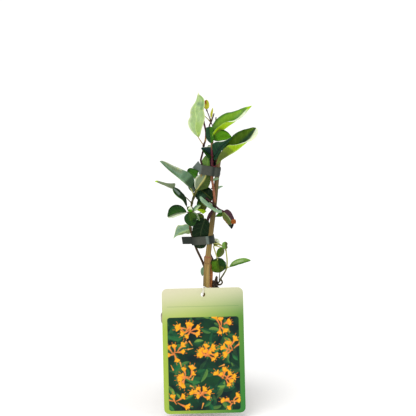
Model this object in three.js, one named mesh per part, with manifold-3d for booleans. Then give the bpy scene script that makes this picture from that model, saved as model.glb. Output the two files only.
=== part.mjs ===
// A honeysuckle vine in its nursery pot, twined round a bamboo cane, with two tying tapes and a
// hanging plant label. Millimetres, +Z up, the front is -Y. The origin is the middle of the pot's
// flat base, so everything stands on Z = 0.
import * as THREE from "three";
import { mergeVertices } from "three/addons/utils/BufferGeometryUtils.js";
import Module from "manifold-3d";

const wasm = await Module();
wasm.setup();

// ---------------------------------------------------------------- driving dimensions

const GAP = 0.3; // air between pieces that rest on each other
const POT = {
  height: 99,
  lipRadius: 45.3,
  lipHeight: 7,
  neckRadius: 42.6,
  baseRadius: 32,
  wall: 1.3,
  floor: 1.6,
  sides: 36,
  drainRadius: 3,
  drainRing: 21,
  drainCount: 8,
};
const SOIL = { top: 89, mound: 1.6, roughness: 1.1, sectors: 20, rings: 4 };
const CANE = {
  path: [
    [1, -23.2, 25],
    [4.2, -22.6, 89],
    [6, -22, 137],
    [7, -21.6, 162],
    [8.8, -21, 179.4],
    [15.4, -19.9, 235],
    [20.3, -18.5, 290],
  ],
  lowRadius: 3.6,
  highRadius: 3.05,
  topRadius: 2.35,
  knotHeights: [62, 171.5, 283],
  knotSwell: 0.42,
};
const LABEL = {
  width: 89.6,
  height: 138,
  thickness: 0.8,
  cornerRadius: 7,
  lean: 13, // degrees back from upright
  turn: 1.3, // degrees in its own plane
  aside: 3.2, // its middle lies this far right of the pot's middle
  aboveLip: 43, // slope length from the pot's lip to the top edge
  hole: [0.7, 61.8],
  holeRadius: 2.5,
};
const TAPE_THICKNESS = 0.6;
const BLADE = 0.7; // leaf thickness
const FINEST = 0.04; // no vertex moves more than this when slivers are merged

// ---------------------------------------------------------------- colours

const LOOK = {
  pot: [0x8f8574, 0.75],
  soil: [0x3a2a1e, 0.98],
  cane: [0xb9995c, 0.6],
  tape: [0x3d4640, 0.4],
  label: [0xb9c490, 0.35],
  tie: [0xf2f0ea, 0.5],
  wood: [0x55402f, 0.85],
  leaf: [0x3f6b2c, 0.5],
};

// ---------------------------------------------------------------- solids and meshes

const point = (p) => new THREE.Vector3(...p);

function solidOf(geometry) {
  const loose = geometry.index ? geometry.toNonIndexed() : geometry;
  const bare = new THREE.BufferGeometry();
  bare.setAttribute("position", loose.getAttribute("position"));
  const merged = mergeVertices(bare, 1e-4);
  return new wasm.Manifold(
    new wasm.Mesh({
      numProp: 3,
      vertProperties: merged.attributes.position.array,
      triVerts: new Uint32Array(merged.index.array),
    }),
  );
}

// The largest body of a solid as a mesh, without the scraps and slivers that joining leaves.
function geometryOf(solid) {
  const bodies = solid.simplify(FINEST).decompose();
  const mesh = bodies.reduce((a, b) => (a.volume() > b.volume() ? a : b)).getMesh();
  const geometry = new THREE.BufferGeometry();
  const positions = new Float32Array(mesh.vertProperties);
  geometry.setAttribute("position", new THREE.BufferAttribute(positions, 3));
  geometry.setIndex(new THREE.BufferAttribute(new Uint32Array(mesh.triVerts), 1));
  geometry.computeVertexNormals();
  return geometry;
}

const joined = (solids) => solids.reduce((whole, piece) => whole.add(piece));

function named(name, geometry, look) {
  const [color, roughness] = LOOK[look];
  const material = new THREE.MeshStandardMaterial({ color, roughness, metalness: 0 });
  const mesh = new THREE.Mesh(geometry, material);
  mesh.name = name;
  return mesh;
}

// A closed mesh from rings of points, each ring in the same order: the rings are joined by walls,
// and the first and last ring are closed by fans.
function closedRings(rings) {
  const size = rings[0].length;
  const positions = rings.flat().flatMap((p) => [p.x, p.y, p.z]);
  const faces = [];
  for (let r = 0; r + 1 < rings.length; r++)
    for (let s = 0; s < size; s++) {
      const a = r * size + s;
      const b = r * size + ((s + 1) % size);
      faces.push(a, b, b + size, a, b + size, a + size);
    }
  const last = (rings.length - 1) * size;
  for (let s = 1; s + 1 < size; s++) {
    faces.push(0, s + 1, s);
    faces.push(last, last + s, last + s + 1);
  }
  const geometry = new THREE.BufferGeometry();
  geometry.setAttribute("position", new THREE.Float32BufferAttribute(positions, 3));
  geometry.setIndex(faces);
  return geometry;
}

// A tapering stem through the given points. radiusAt takes the share of the length, 0 to 1.
function stem(points, radiusAt, sides = 6, steps = points.length * 2) {
  const curve = new THREE.CatmullRomCurve3(points.map(point), false, "centripetal");
  const frames = curve.computeFrenetFrames(steps, false);
  const rings = [];
  for (let i = 0; i <= steps; i++) {
    const centre = curve.getPointAt(i / steps);
    const radius = radiusAt(i / steps);
    const ring = [];
    for (let s = 0; s < sides; s++) {
      const angle = (2 * Math.PI * s) / sides;
      ring.push(
        centre
          .clone()
          .addScaledVector(frames.normals[i], radius * Math.cos(angle))
          .addScaledVector(frames.binormals[i], radius * Math.sin(angle)),
      );
    }
    rings.push(ring);
  }
  return solidOf(closedRings(rings));
}

const taper = (from, to) => (t) => from + (to - from) * t;

// ---------------------------------------------------------------- leaves

// A leaf grows from a point on its stem, along a stalk, into a blade from base to tip.
//   from, via     the stalk's root on the stem, and any points it passes
//   base, mid, tip  the points of the blade's midrib
//   face          the way the blade's upper side looks
//   left, right   half widths of the two sides, seen from above with the tip up, at even steps
//                 of a half turn from base to tip
//   width, halves without left and right: the full width, and a scale for each side
//   fold          degrees by which the sides rise from the midrib towards the upper side: one
//                 angle, or for each side one angle or a row of angles from base to tip
//   bow, sway     how far a midrib without mid points bends to the upper side and to the right,
//                 as a share of length
//   twist         degrees that the blade turns round its midrib from base to tip
//   wave          height of the waves along the edges
//   arch          how far each side bulges, as a share of its width
const LEAF_DEFAULTS = {
  via: [],
  mid: [],
  halves: [1, 1],
  fold: 18,
  bow: 0.04,
  sway: 0,
  twist: 0,
  wave: 0.3,
  arch: 0.07,
  stalk: 0.6,
};
const PROFILE = [0.5, 0.92, 1, 0.74, 0.34]; // half widths of a plain leaf
const ACROSS = [-1, -0.5, 0, 0.5, 1];
const SMALL = 12; // a blade shorter than this is made of fewer faces
const LARGE = 44; // and one longer than this of more
const WAVES = 2.5; // edge waves along one blade
const SLIMMEST = 0.45; // half width of a blade's ends
const ROOT_SHARE = 0.07; // share of the blade that the stalk runs on into

// The smooth curve through a side's half widths, read at a share t of the blade.
function halfWidth(values, t) {
  const posts = [-values[0], 0, ...values, 0, -values.at(-1)];
  const place = (Math.acos(1 - 2 * t) / Math.PI) * (values.length + 1);
  const k = Math.min(Math.floor(place), values.length);
  const s = place - k;
  const [p0, p1, p2, p3] = posts.slice(k, k + 4);
  const bend = 2 * p0 - 5 * p1 + 4 * p2 - p3 + s * (3 * (p1 - p2) + p3 - p0);
  return Math.max(p1 + (s / 2) * (p2 - p0 + s * bend), SLIMMEST);
}

function foldAngle(angles, t) {
  const row = [angles].flat();
  const place = t * (row.length - 1);
  const k = Math.min(Math.floor(place), Math.max(row.length - 2, 0));
  const degrees = row[k] + ((row[k + 1] ?? row[k]) - row[k]) * (place - k);
  return THREE.MathUtils.degToRad(degrees);
}

// The midrib's curve, with the ways along it, up from the blade and across it at a share t.
function midrib(spec) {
  const base = point(spec.base);
  const tip = point(spec.tip);
  const length = base.distanceTo(tip);
  const chord = tip.clone().sub(base).normalize();
  const aside = chord.clone().cross(point(spec.face)).normalize();
  const lift = aside.clone().cross(chord);
  const middle = base.clone().lerp(tip, 0.5);
  middle.addScaledVector(lift, spec.bow * length).addScaledVector(aside, spec.sway * length);
  const between = spec.mid.length ? spec.mid.map(point) : [middle];
  const curve = new THREE.CatmullRomCurve3([base, ...between, tip], false, "centripetal");
  return (t) => {
    const along = curve.getTangentAt(t);
    const up = point(spec.face);
    up.addScaledVector(along, -up.dot(along)).normalize();
    return { spot: curve.getPointAt(t), along, up, side: along.clone().cross(up) };
  };
}

function leaf(given) {
  const spec = { ...LEAF_DEFAULTS, ...given };
  const length = point(spec.base).distanceTo(point(spec.tip));
  const plain = spec.halves.map((scale) => PROFILE.map((half) => (spec.width / 2) * scale * half));
  const sides = spec.left ? [spec.left, spec.right] : plain;
  const folds = Array.isArray(spec.fold) ? spec.fold : [spec.fold, spec.fold];
  const turn = THREE.MathUtils.degToRad(spec.twist);
  const steps = length > LARGE ? 8 : length > 2 * SMALL ? 7 : length > SMALL ? 5 : 3;
  const across = length > SMALL ? ACROSS : [-1, 0, 1];
  const rib = midrib(spec);

  const spot = (t, u) => {
    const { spot: middle, along, up, side } = rib(t);
    const hand = u < 0 ? 0 : 1;
    const half = halfWidth(sides[hand], t);
    const fold = foldAngle(folds[hand], t);
    const reach = Math.abs(u);
    const size = Math.min(1, half / 8);
    const ripple = spec.wave * size * u * u * Math.sin(2 * Math.PI * WAVES * t + u);
    const bulge = spec.arch * half * 4 * reach * (1 - reach) + ripple;
    const out = new THREE.Vector3();
    const slant = reach * half * Math.cos(fold) - bulge * Math.sin(fold);
    out.addScaledVector(side, Math.sign(u) * slant);
    out.addScaledVector(up, reach * half * Math.sin(fold) + bulge * Math.cos(fold));
    return middle.add(out.applyAxisAngle(along, turn * (t - 0.5)));
  };
  const rows = [];
  for (let i = 0; i <= steps; i++) {
    const even = i / steps;
    const t = 0.5 * even + 0.25 * (1 - Math.cos(Math.PI * even)); // closer rows at both ends
    rows.push(across.map((u) => spot(Math.min(Math.max(t, 0.001), 0.999), u)));
  }
  const blade = solidOf(sheet(rows, BLADE));

  const root = rib(ROOT_SHARE).spot.toArray();
  const route = [spec.from, ...spec.via, spec.base, root];
  const stalk = stem(route, taper(spec.stalk, 0.45), 5, route.length);
  return blade.add(stalk);
}

// A closed sheet of even thickness round a grid of points. Both faces are split along the same
// diagonals, so they never cross.
function sheet(rows, thickness) {
  const across = rows[0].length;
  const normalAt = (i, j) => {
    const before = rows[Math.max(i - 1, 0)][j];
    const after = rows[Math.min(i + 1, rows.length - 1)][j];
    const left = rows[i][Math.max(j - 1, 0)];
    const right = rows[i][Math.min(j + 1, across - 1)];
    return after.clone().sub(before).cross(right.clone().sub(left)).normalize();
  };
  const upper = [];
  const lower = [];
  rows.forEach((row, i) =>
    row.forEach((p, j) => {
      const normal = normalAt(i, j).negate();
      upper.push(p.clone().addScaledVector(normal, -thickness / 2));
      lower.push(p.clone().addScaledVector(normal, thickness / 2));
    }),
  );
  const count = upper.length;
  const faces = [];
  const quad = (a, b, c, d) => faces.push(a, b, c, a, c, d);
  for (let i = 0; i + 1 < rows.length; i++)
    for (let j = 0; j + 1 < across; j++) {
      const a = i * across + j;
      const b = a + 1;
      const c = b + across;
      const d = a + across;
      quad(a, d, c, b);
      faces.push(count + a, count + b, count + c, count + a, count + c, count + d);
    }
  const rim = [];
  for (let j = 0; j + 1 < across; j++) rim.push(j);
  for (let i = 0; i + 1 < rows.length; i++) rim.push(i * across + across - 1);
  for (let j = across - 1; j > 0; j--) rim.push((rows.length - 1) * across + j);
  for (let i = rows.length - 1; i > 0; i--) rim.push(i * across);
  rim.forEach((a, k) => {
    const b = rim[(k + 1) % rim.length];
    quad(a, b, count + b, count + a);
  });
  const positions = [...upper, ...lower].flatMap((p) => [p.x, p.y, p.z]);
  const geometry = new THREE.BufferGeometry();
  geometry.setAttribute("position", new THREE.Float32BufferAttribute(positions, 3));
  geometry.setIndex(faces);
  return geometry;
}

// ---------------------------------------------------------------- pot, soil and cane

function potInnerRadius(z) {
  const slope = (POT.neckRadius - POT.baseRadius) / (POT.height - POT.lipHeight);
  return POT.baseRadius - POT.wall + slope * z;
}

function upright(points) {
  const profile = points.map(([r, z]) => new THREE.Vector2(r, z));
  const lathe = new THREE.LatheGeometry(profile, POT.sides);
  return solidOf(lathe.rotateX(Math.PI / 2));
}

function pot() {
  const { height, lipRadius, lipHeight, neckRadius, baseRadius, wall, floor } = POT;
  const lipFoot = height - lipHeight;
  const bevel = 0.8;
  const shell = upright([
    [0, 0],
    [baseRadius - bevel, 0],
    [baseRadius, bevel],
    [neckRadius, lipFoot - bevel],
    [lipRadius - bevel, lipFoot],
    [lipRadius, lipFoot + bevel],
    [lipRadius, height - bevel],
    [lipRadius - bevel, height],
    [lipRadius - wall, height],
    [potInnerRadius(lipFoot) + bevel, lipFoot + wall],
    [potInnerRadius(lipFoot), lipFoot - wall],
    [potInnerRadius(floor), floor],
    [0, floor],
  ]);
  const drains = [];
  for (let i = 0; i < POT.drainCount; i++) {
    const angle = (2 * Math.PI * i) / POT.drainCount;
    const drill = new THREE.CylinderGeometry(POT.drainRadius, POT.drainRadius, 4 * floor, 12);
    drill.rotateX(Math.PI / 2);
    drill.translate(POT.drainRing * Math.cos(angle), POT.drainRing * Math.sin(angle), 0);
    drains.push(solidOf(drill));
  }
  return shell.subtract(joined(drains));
}

function caneRadius(t) {
  const bottom = CANE.path[0][2];
  const top = CANE.path.at(-1)[2];
  const z = bottom + t * (top - bottom);
  const knot = CANE.knotHeights[1];
  const above = (z - knot) / (top - knot);
  const plain =
    z < knot
      ? CANE.lowRadius
      : CANE.highRadius + (CANE.topRadius - CANE.highRadius) * above;
  const swell = CANE.knotHeights.reduce(
    (most, height) => Math.max(most, Math.exp(-(((z - height) / 2.4) ** 2))),
    0,
  );
  return plain + CANE.knotSwell * swell;
}

function cane(clearance = 0) {
  return stem(CANE.path, (t) => caneRadius(t) + clearance, 8, 48);
}

// The soil's top is a low mound with lumps from a fixed formula, open in plain holes for what
// stands in it.
function soil(holes) {
  const bottom = POT.floor + GAP;
  const skin = GAP + 0.25; // the pot's sides are flats, so their middles lie a little inwards
  const lump = (x, y) =>
    Math.sin(x * 0.41 + 1.3) * Math.cos(y * 0.37 - 0.6) +
    0.6 * Math.sin(x * 0.93 - y * 0.71) +
    0.4 * Math.cos(x * 0.29 + y * 1.13 + 2.1);
  const { top, mound, roughness, sectors, rings } = SOIL;
  const ringAt = (radius, height) => {
    const ring = [];
    for (let s = 0; s < sectors; s++) {
      const angle = (2 * Math.PI * s) / sectors;
      const x = radius * Math.cos(angle);
      const y = radius * Math.sin(angle);
      ring.push(new THREE.Vector3(x, y, height(x, y, radius)));
    }
    return ring;
  };
  const edge = potInnerRadius(top - 2) - skin;
  const surface = (x, y, radius) =>
    top + mound * (1 - (radius / edge) ** 2) + 0.5 * roughness * lump(x, y);
  const layers = [ringAt(potInnerRadius(bottom) - skin, () => bottom)];
  layers.push(ringAt(edge, () => top - 2));
  for (let r = rings; r > 0; r--) layers.push(ringAt(((edge - 0.4) * r) / rings, surface));
  return solidOf(closedRings(layers)).subtract(joined(holes));
}

// ---------------------------------------------------------------- the vine's stems

const STUMP = [
  [13.4, -4.0, 58],
  [13.6, -5.5, 89],
  [14.6, -8.5, 116],
  [15.6, -10.6, 130],
  [16.6, -12.0, 139],
  [17.6, -12.9, 146.4],
];
const stumpRadius = (t) => 4.4 - 1.9 * t + 0.35 * Math.sin(14 * t);

const LEADER = [
  [9.2, -9.6, 58],
  [9.6, -10.6, 89],
  [10.6, -12.4, 116],
  [11.1, -13.8, 131],
  [11.4, -14.4, 140],
  [11.9, -14.9, 153],
  [12.3, -14.9, 162],
  [12.2, -14.8, 167.5],
  [10.8, -14.9, 173.5],
  [9.4, -15.3, 179.5],
  [8.2, -15.8, 186],
  [7.3, -16.6, 193],
  [6.7, -17.8, 203],
  [7.4, -19.7, 212],
  [9.9, -22.9, 219.5],
  [13.9, -24.6, 226.4],
  [15.6, -25.1, 232.6],
  [14.9, -24.7, 241.3],
  [13.7, -23.3, 251],
  [12.1, -20.6, 261.5],
  [12.4, -19.4, 272],
  [12.4, -19.1, 285.5],
  [12.2, -18.9, 297],
  [12.7, -18.6, 303],
];
const leaderRadius = (t) => 1.75 - 0.95 * t + 0.3 * Math.exp(-(((t - 0.425) / 0.012) ** 2));

const LEFT = [
  [11.8, -14.9, 148.6],
  [8.3, -14.6, 151.8],
  [4.1, -14.8, 159.5],
  [-0.5, -15.8, 170],
  [-5.1, -17.2, 180.6],
  [-7.9, -18.3, 190],
  [-11.2, -19.4, 202],
  [-12.7, -20.2, 213],
  [-12.2, -21, 221.9],
  [-10.2, -22, 229.4],
  [-9.3, -22.6, 234.4],
  [-7.2, -23.5, 240.7],
  [-4.8, -23.6, 247.2],
  [-1.9, -21.6, 254],
  [0.4, -19.7, 262],
  [0.8, -19.2, 268.5],
  [1.3, -19.2, 275],
  [0.1, -19.1, 280],
  [0.8, -19, 283],
  [2.7, -19, 290.7],
  [3.5, -18.8, 297.3],
  [4.8, -18.6, 300.6],
  [5.7, -18, 307],
  [5.6, -17.5, 311.9],
  [3.6, -17.1, 321.2],
  [2.8, -17, 327],
];
const leftRadius = (t) => 1.3 - 0.65 * t;

const LOW = [
  [17.4, -12.6, 137.5],
  [20.4, -12.8, 136.8],
  [23.6, -13.4, 138],
  [24.9, -13.8, 141],
  [24.2, -14, 144],
  [25.2, -14.3, 148.6],
  [28.2, -14.9, 155],
  [29.2, -15.2, 162.5],
  [28.6, -15.8, 172.4],
  [27.5, -16.4, 178.8],
  [25.4, -16.8, 181.8],
  [20.7, -17.2, 184.6],
];
const LOW_LOOP = [
  [18.6, -20, 167.6],
  [17.6, -19.9, 171.6],
  [16.6, -19.2, 175],
  [15.1, -18.2, 179.4],
  [14.4, -17.6, 183],
  [17, -17.6, 183.2],
  [21.6, -17.5, 181.6],
  [26, -16.9, 179.6],
];

// ---------------------------------------------------------------- the vine's leaves

const LEADER_LEAVES = [
  // the large pair at the top right, and the leaves round its node
  {
    from: [12.6, -18.6, 302], base: [13.9, -18.8, 305.2],
    mid: [[24.1, -21.5, 313.7], [30.6, -23.5, 319.1], [37.2, -26, 324.2], [42.3, -28, 332.6],
      [49, -29, 338.7]], tip: [55.1, -30, 342.3], face: [-0.43, -0.52, 0.74],
    left: [8, 13, 13, 9, 2.6], right: [7, 12, 13, 9.5, 4],
    fold: [[65, 50, 31], [68, 68, 52, 15, 0]],
  },
  {
    from: [12.3, -18.8, 299], base: [11.3, -20.2, 299.4], tip: [9.7, -20, 317.6],
    face: [-0.2, -0.9, -0.3], left: [2, 4, 4.6, 4.6, 4], right: [2, 4, 4.6, 4.6, 4], fold: 12,
  },
  {
    from: [12.6, -18.6, 302], base: [14, -19.5, 303.2], mid: [[24.3, -23, 306.6]],
    tip: [33.5, -27, 307.4], face: [0, -1, 0.3], left: [5, 8, 8.5, 6, 2.5],
    right: [2, 3.5, 4, 3.5, 2], fold: 14,
  },
  {
    from: [12.4, -19.2, 279], base: [12.4, -20.4, 285], mid: [[6.4, -22.5, 289.9]],
    tip: [0.3, -24.4, 294.8], face: [0.48, -0.77, 0.43], left: [5.4, 6.6, 5.2, 2.8, 1.2],
    right: [6, 9.5, 8.5, 4.5, 2], fold: [20, 38],
  },
  {
    from: [12.4, -19.2, 278.5], base: [14, -20, 283.3], mid: [[23.2, -29.5, 296.5]],
    tip: [33.3, -32.5, 307.4], face: [-0.52, -0.77, 0.38], left: [9, 12, 9, 3, 1.5],
    right: [5.5, 3.5, 3, 2.2, 1.2], fold: 38,
  },
  {
    from: [12.4, -19.2, 282], base: [14, -22.5, 284.9], mid: [[15.2, -24.5, 280.3]],
    tip: [15.6, -25.5, 274.6], face: [0, -1, 0.1], width: 9, fold: 10,
  },
  {
    from: [12.4, -19.4, 274.6], via: [[14.2, -22, 273.6]], base: [17.1, -23.2, 274.9],
    mid: [[23, -24.5, 280.8], [29.5, -27, 285.1], [41.3, -31, 293], [52, -34.5, 304.6],
      [56, -35.5, 311]], tip: [60, -36, 319], face: [-0.42, -0.4, 0.82],
    left: [4.5, 11, 15, 16, 13, 6], right: [3, 9.5, 14.5, 11.5, 7, 3],
    fold: [[76, 55, 34], [76, 75, 70, 45, 0]],
  },
  // the middle of the plant
  {
    from: [12.3, -21.4, 258.4], base: [13.4, -23, 258.8], tip: [20.4, -25, 261],
    face: [0.2, -0.5, 0.8], width: 5, fold: 10,
  },
  {
    from: [13.6, -23.1, 250.4], via: [[11.7, -19.6, 248.4], [13.4, -15.6, 247]],
    base: [17.7, -14.8, 246.3], tip: [24.6, -14, 249.9], face: [0.3, 0.5, 0.8], width: 5.4,
    fold: 16,
  },
  {
    from: [15.6, -25.1, 232.4], base: [11.3, -24, 237.8], tip: [-4.1, -14, 249.6],
    face: [0, -0.9, 0.4], left: [6, 10.5, 11.5, 9.5, 5], right: [4, 7, 7.6, 6, 3], fold: 7,
  },
  {
    from: [7.3, -19.5, 211.4], base: [4.2, -20.8, 214.5],
    mid: [[0.3, -21.2, 200], [-0.6, -20.8, 190.4]], tip: [-1.9, -20.7, 181],
    face: [-0.12, -0.98, 0], left: [5.5, 7.5, 7.8, 7.8, 6], right: [5.5, 7.5, 7.8, 7.8, 6], fold: 0,
    wave: 0, arch: 0.02,
  },
  // the twig that crosses the cane
  {
    from: [24.2, -26.9, 224.8], base: [24.5, -27, 224.4],
    mid: [[29.6, -29, 219.7], [33.2, -30.5, 214.5]], tip: [33.7, -32, 206], face: [0.3, -0.9, 0.3],
    left: [4.6, 5.7, 4.6, 2.9, 1.4], right: [3.4, 6.9, 7.6, 5.7, 1.7], fold: 20,
  },
  {
    from: [33.4, -31.1, 212.6], base: [33.2, -31.3, 213.6], tip: [38.6, -31, 213.5],
    face: [0, -0.8, 0.6], left: [1.6, 2.6, 2.9, 2.9, 2.4], right: [1.6, 2.6, 2.9, 2.9, 2.4],
    fold: 24, stalk: 0.5,
  },
  {
    from: [24.2, -26.9, 224.8], base: [24.4, -27.6, 224.3],
    mid: [[19.7, -28.2, 224.1], [13.5, -28.8, 227], [6, -29.2, 232.2], [0.9, -29.5, 237.3]],
    tip: [-1, -29.6, 241.9], face: [0.35, 0.8, 0.5], left: [2.6, 3.4, 3.4, 3.2, 2],
    right: [2.6, 3.4, 3.4, 3.2, 2], fold: 26,
  },
  {
    from: [14.2, -25.4, 231.6], base: [12.6, -26, 230.6], tip: [8.3, -25.6, 235],
    face: [0, 0.9, 0.4], width: 4, fold: 10, bow: 0,
  },
  {
    from: [24.2, -26.8, 224.4], base: [25.5, -26.4, 221.6], tip: [15.8, -24.8, 218.3],
    face: [0, -0.8, 0.6], left: [1.5, 2.6, 3, 2.4, 1.4], right: [1.5, 2.6, 3, 2.4, 1.4], fold: 12,
  },
  // behind
  {
    from: [12.2, -20.9, 260.6], base: [11.2, -15.5, 259.4], tip: [6, 12, 250], face: [0, 0.3, 1],
    width: 14, fold: 20, bow: 0.08,
  },
  {
    from: [12.4, -19.2, 283], base: [12.8, -15.5, 284], tip: [15.5, 15, 289], face: [0.1, -0.1, 1],
    width: 15, fold: 20, bow: 0.08,
  },
  {
    from: [12.5, -18.7, 301], base: [13.5, -15.5, 302], tip: [21, 12, 301], face: [0, 0.2, 1],
    width: 14, fold: 22, bow: 0.1,
  },
];

const LEFT_LEAVES = [
  {
    from: [3.4, -18.9, 296.4], base: [-2.5, -20, 305.7],
    mid: [[-5.3, -21, 315.1], [-4.6, -22, 327.4], [-6.3, -23.2, 336.4], [-2.5, -24.2, 347.5]],
    tip: [-2, -25, 355.9], face: [0.1, 1, 0.1], left: [3, 6.4, 8.4, 10.2, 9.8, 5.2, 0.7],
    right: [1.8, 5.4, 9, 7, 3.4, 3.2, 1.2], fold: 18, wave: 0.6,
  },
  // the middle left
  {
    from: [-7.6, -23.4, 239.6], via: [[-9, -23, 245]], base: [-11.2, -22.5, 249.4],
    mid: [[-20.8, -24.5, 258.9], [-35.4, -28, 271.6]], tip: [-44.4, -30, 281.1],
    face: [0.43, 0.77, 0.47], left: [9, 11.8, 9.2, 6.4, 3.4], right: [4, 6, 5, 4, 2.5], fold: 40,
  },
  {
    from: [-8, -23.2, 238.6], base: [-7.6, -21, 245], tip: [-11.7, -19, 261.3],
    face: [-0.3, 0.8, 0.3], width: 9, fold: 12,
  },
  {
    from: [0.3, -19.8, 262], base: [-3.7, -18.8, 263.5], tip: [-14.9, -22, 269.2],
    face: [-0.1, -0.9, 0.4], left: [5.2, 4, 2.9, 2.1, 1.2], right: [4, 4.6, 4.6, 4, 2.4], fold: 12,
  },
  {
    from: [-5, -23.6, 246.6], base: [-4.4, -24.2, 248],
    mid: [[-0.2, -23.8, 254.2], [4.2, -21.9, 260.1], [5.6, -20.8, 263.6], [7.6, -20.5, 276.4]],
    tip: [8.1, -19.6, 286.2], face: [0, 1, 0], left: [4.5, 9, 5, 2.3, 1.2],
    right: [4.7, 8.6, 6.3, 7, 3.8], fold: 8, wave: 0.1,
  },
  {
    from: [-12.1, -21.3, 223.5], via: [[-14, -23.2, 226]], base: [-15.2, -24, 229.3],
    mid: [[-18.3, -26, 238.8], [-23.7, -28, 244.8]], tip: [-30.2, -26.5, 251],
    face: [0.2, -0.9, 0.4], left: [1, 1.8, 3.4, 4.8, 3.2], right: [1, 1.8, 3.4, 4.8, 3.2],
    fold: -12,
  },
  {
    from: [-10, -22.4, 232.8], via: [[-16.3, -22.2, 239.2], [-23, -21, 244]],
    base: [-29.3, -20, 248.1], tip: [-50.1, -25, 257.6], face: [0.31, 0.77, 0.56],
    left: [5, 4, 2.6, 2.4, 1.8], right: [4.4, 2.6, 1.6, 1.3, 1.2], fold: 30, bow: 0,
  },
  {
    from: [-12.2, -21, 221], base: [-15.6, -22, 222.6], mid: [[-26.4, -25.5, 222]],
    tip: [-36.3, -30, 219], face: [-0.15, -0.7, 0.68], left: [1.2, 2.4, 3.4, 3.6, 2.4],
    right: [3.5, 7.6, 9.6, 8, 3.4], fold: [-20, 40],
  },
  {
    from: [-12.2, -21, 221.6], base: [-12.4, -23.2, 222.3], tip: [-9.2, -28, 207.7],
    face: [0, -1, 0.2], width: 14, fold: 12,
  },
  {
    from: [-11, -19.4, 203], base: [-9.6, -18.4, 203.9],
    mid: [[-18.4, -18, 200], [-24, -17, 197.1]], tip: [-30.6, -16, 191.1], face: [-0.1, 0.9, 0.3],
    left: [4.5, 8, 8.4, 4.4, 0.7], right: [4, 6.4, 4.4, 1.6, 0.5], fold: 14,
  },
  // the tuft at the left node
  {
    from: [-11.9, -21, 222], via: [[-7.5, -20.6, 223.6]], base: [-4, -20.8, 224.8],
    tip: [6.4, -22.4, 223.9], face: [-0.2, -0.7, 0.7], left: [0.9, 1.2, 1.2, 0.8, 0.4],
    right: [0.8, 1.6, 3.4, 4.4, 1.5], fold: 6,
  },
  {
    from: [-12, -21, 222], base: [-7.4, -21.6, 223.7], tip: [-0.1, -23.5, 230.7],
    face: [0.4, 0.6, 0.6], width: 5, fold: 20, sway: 0.08,
  },
  {
    from: [-12, -21.2, 222], base: [-9.4, -23.2, 222.7], tip: [-1.2, -24.4, 213.2],
    face: [0.5, -0.7, 0.5], width: 5.4, fold: 24,
  },
  {
    from: [-12, -21, 222], via: [[-7, -18.6, 219.6]], base: [2.5, -16.6, 222],
    tip: [-0.8, -14, 237.2], face: [0, -0.9, 0.3], width: 11.5, fold: 12,
  },
  {
    from: [-7, -18.7, 219.6], base: [-2.4, -17, 219.4], tip: [2.6, -17, 210.8],
    face: [0.1, -0.9, 0.3], width: 7.5, fold: 10,
  },
  {
    from: [-12.2, -21, 221], base: [-11.9, -22.4, 222.8], tip: [-11, -25, 229.8],
    face: [0, -0.9, 0.3], width: 5.6, fold: 20,
  },
  // low, beside the cane
  {
    from: [3.2, -15, 161.6], base: [2.8, -15.9, 158.6], tip: [1.9, -18, 148.8],
    face: [-0.4, -0.9, 0], width: 5, fold: 16,
  },
  // behind
  {
    from: [-12.2, -20.8, 220.6], base: [-11.2, -17, 220], tip: [-4.5, 10, 218.5], face: [0, 0, 1],
    width: 14, fold: 22, bow: 0.08,
  },
];

const LOW_LEAVES = [
  {
    from: [28.9, -15, 157.4], base: [32, -15.5, 158.6], tip: [55.2, -24, 168.1],
    face: [-0.15, -0.77, 0.62], left: [2, 4.6, 5.4, 4.6, 2.2], right: [1, 1.8, 2, 1.6, 1], fold: 34,
  },
  {
    from: [27.4, -16.5, 178.6], base: [27.5, -16.6, 179.6], tip: [26.8, -19, 188.4],
    face: [0, -1, 0.2], left: [2, 4, 4.4, 4.2, 2.8], right: [1.8, 3.4, 3.8, 3.6, 2.4], fold: 14,
  },
  {
    from: [24.6, -16.9, 182], base: [24.2, -17.6, 181], tip: [18.9, -20, 170.6],
    face: [-0.1, -1, 0.2], width: 8.4, fold: 14,
  },
  {
    from: [21, -17.2, 184.2], base: [20.4, -16.8, 185], tip: [13.6, -11.4, 189],
    face: [-0.2, -0.8, 0.5], left: [1.6, 3.2, 3.6, 3, 1.6], right: [1.4, 2.6, 3, 2.4, 1.4],
    fold: 12,
  },
  {
    from: [18.2, -12.7, 137.6], via: [[20.8, -14, 142.9]], base: [21.3, -16.2, 151.6],
    tip: [20.7, -20.6, 170.4], face: [-0.1, -1, 0.25], left: [4, 7.4, 7.8, 7.4, 5.2],
    right: [4, 6.8, 7, 6.6, 4.8], fold: 14,
  },
];

// Bare twigs at the top of the leader, and the small young leaves on them.
const TIP_TWIGS = [
  [[12.6, -18.6, 302], [13.7, -18, 310], [13.3, -17, 316.6], [11.3, -15.8, 321.6],
    [9.3, -15.6, 327.9], [6.3, -15, 335.6]],
  [[12.6, -18.5, 302.6], [11.2, -17, 310], [9.4, -16, 316.8], [11.1, -15.4, 321.6],
    [12.8, -14.6, 325.6], [14.6, -14.4, 331]],
  [[13.5, -17.6, 313], [16, -15.4, 318], [16.7, -14.8, 327]],
  [[11.2, -15.7, 321.6], [8, -15.2, 324.8], [4.4, -15, 328.4]],
];
const TIP_LEAVES = [
  {
    from: [6.6, -15, 334.8], base: [6.3, -15, 335.8], tip: [6.3, -16, 346.4], face: [0.1, -0.9, 0],
    left: [1.6, 2.8, 3, 2.8, 1.8], right: [1.6, 2.8, 3.1, 2.6, 1.6], fold: 16, stalk: 0.5,
  },
  {
    from: [10.9, -15.5, 323], base: [11.4, -15.6, 326.5], tip: [13.3, -16.4, 337.7],
    face: [-0.4, -0.9, 0], width: 2.8, fold: 16, stalk: 0.45,
  },
];
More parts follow.
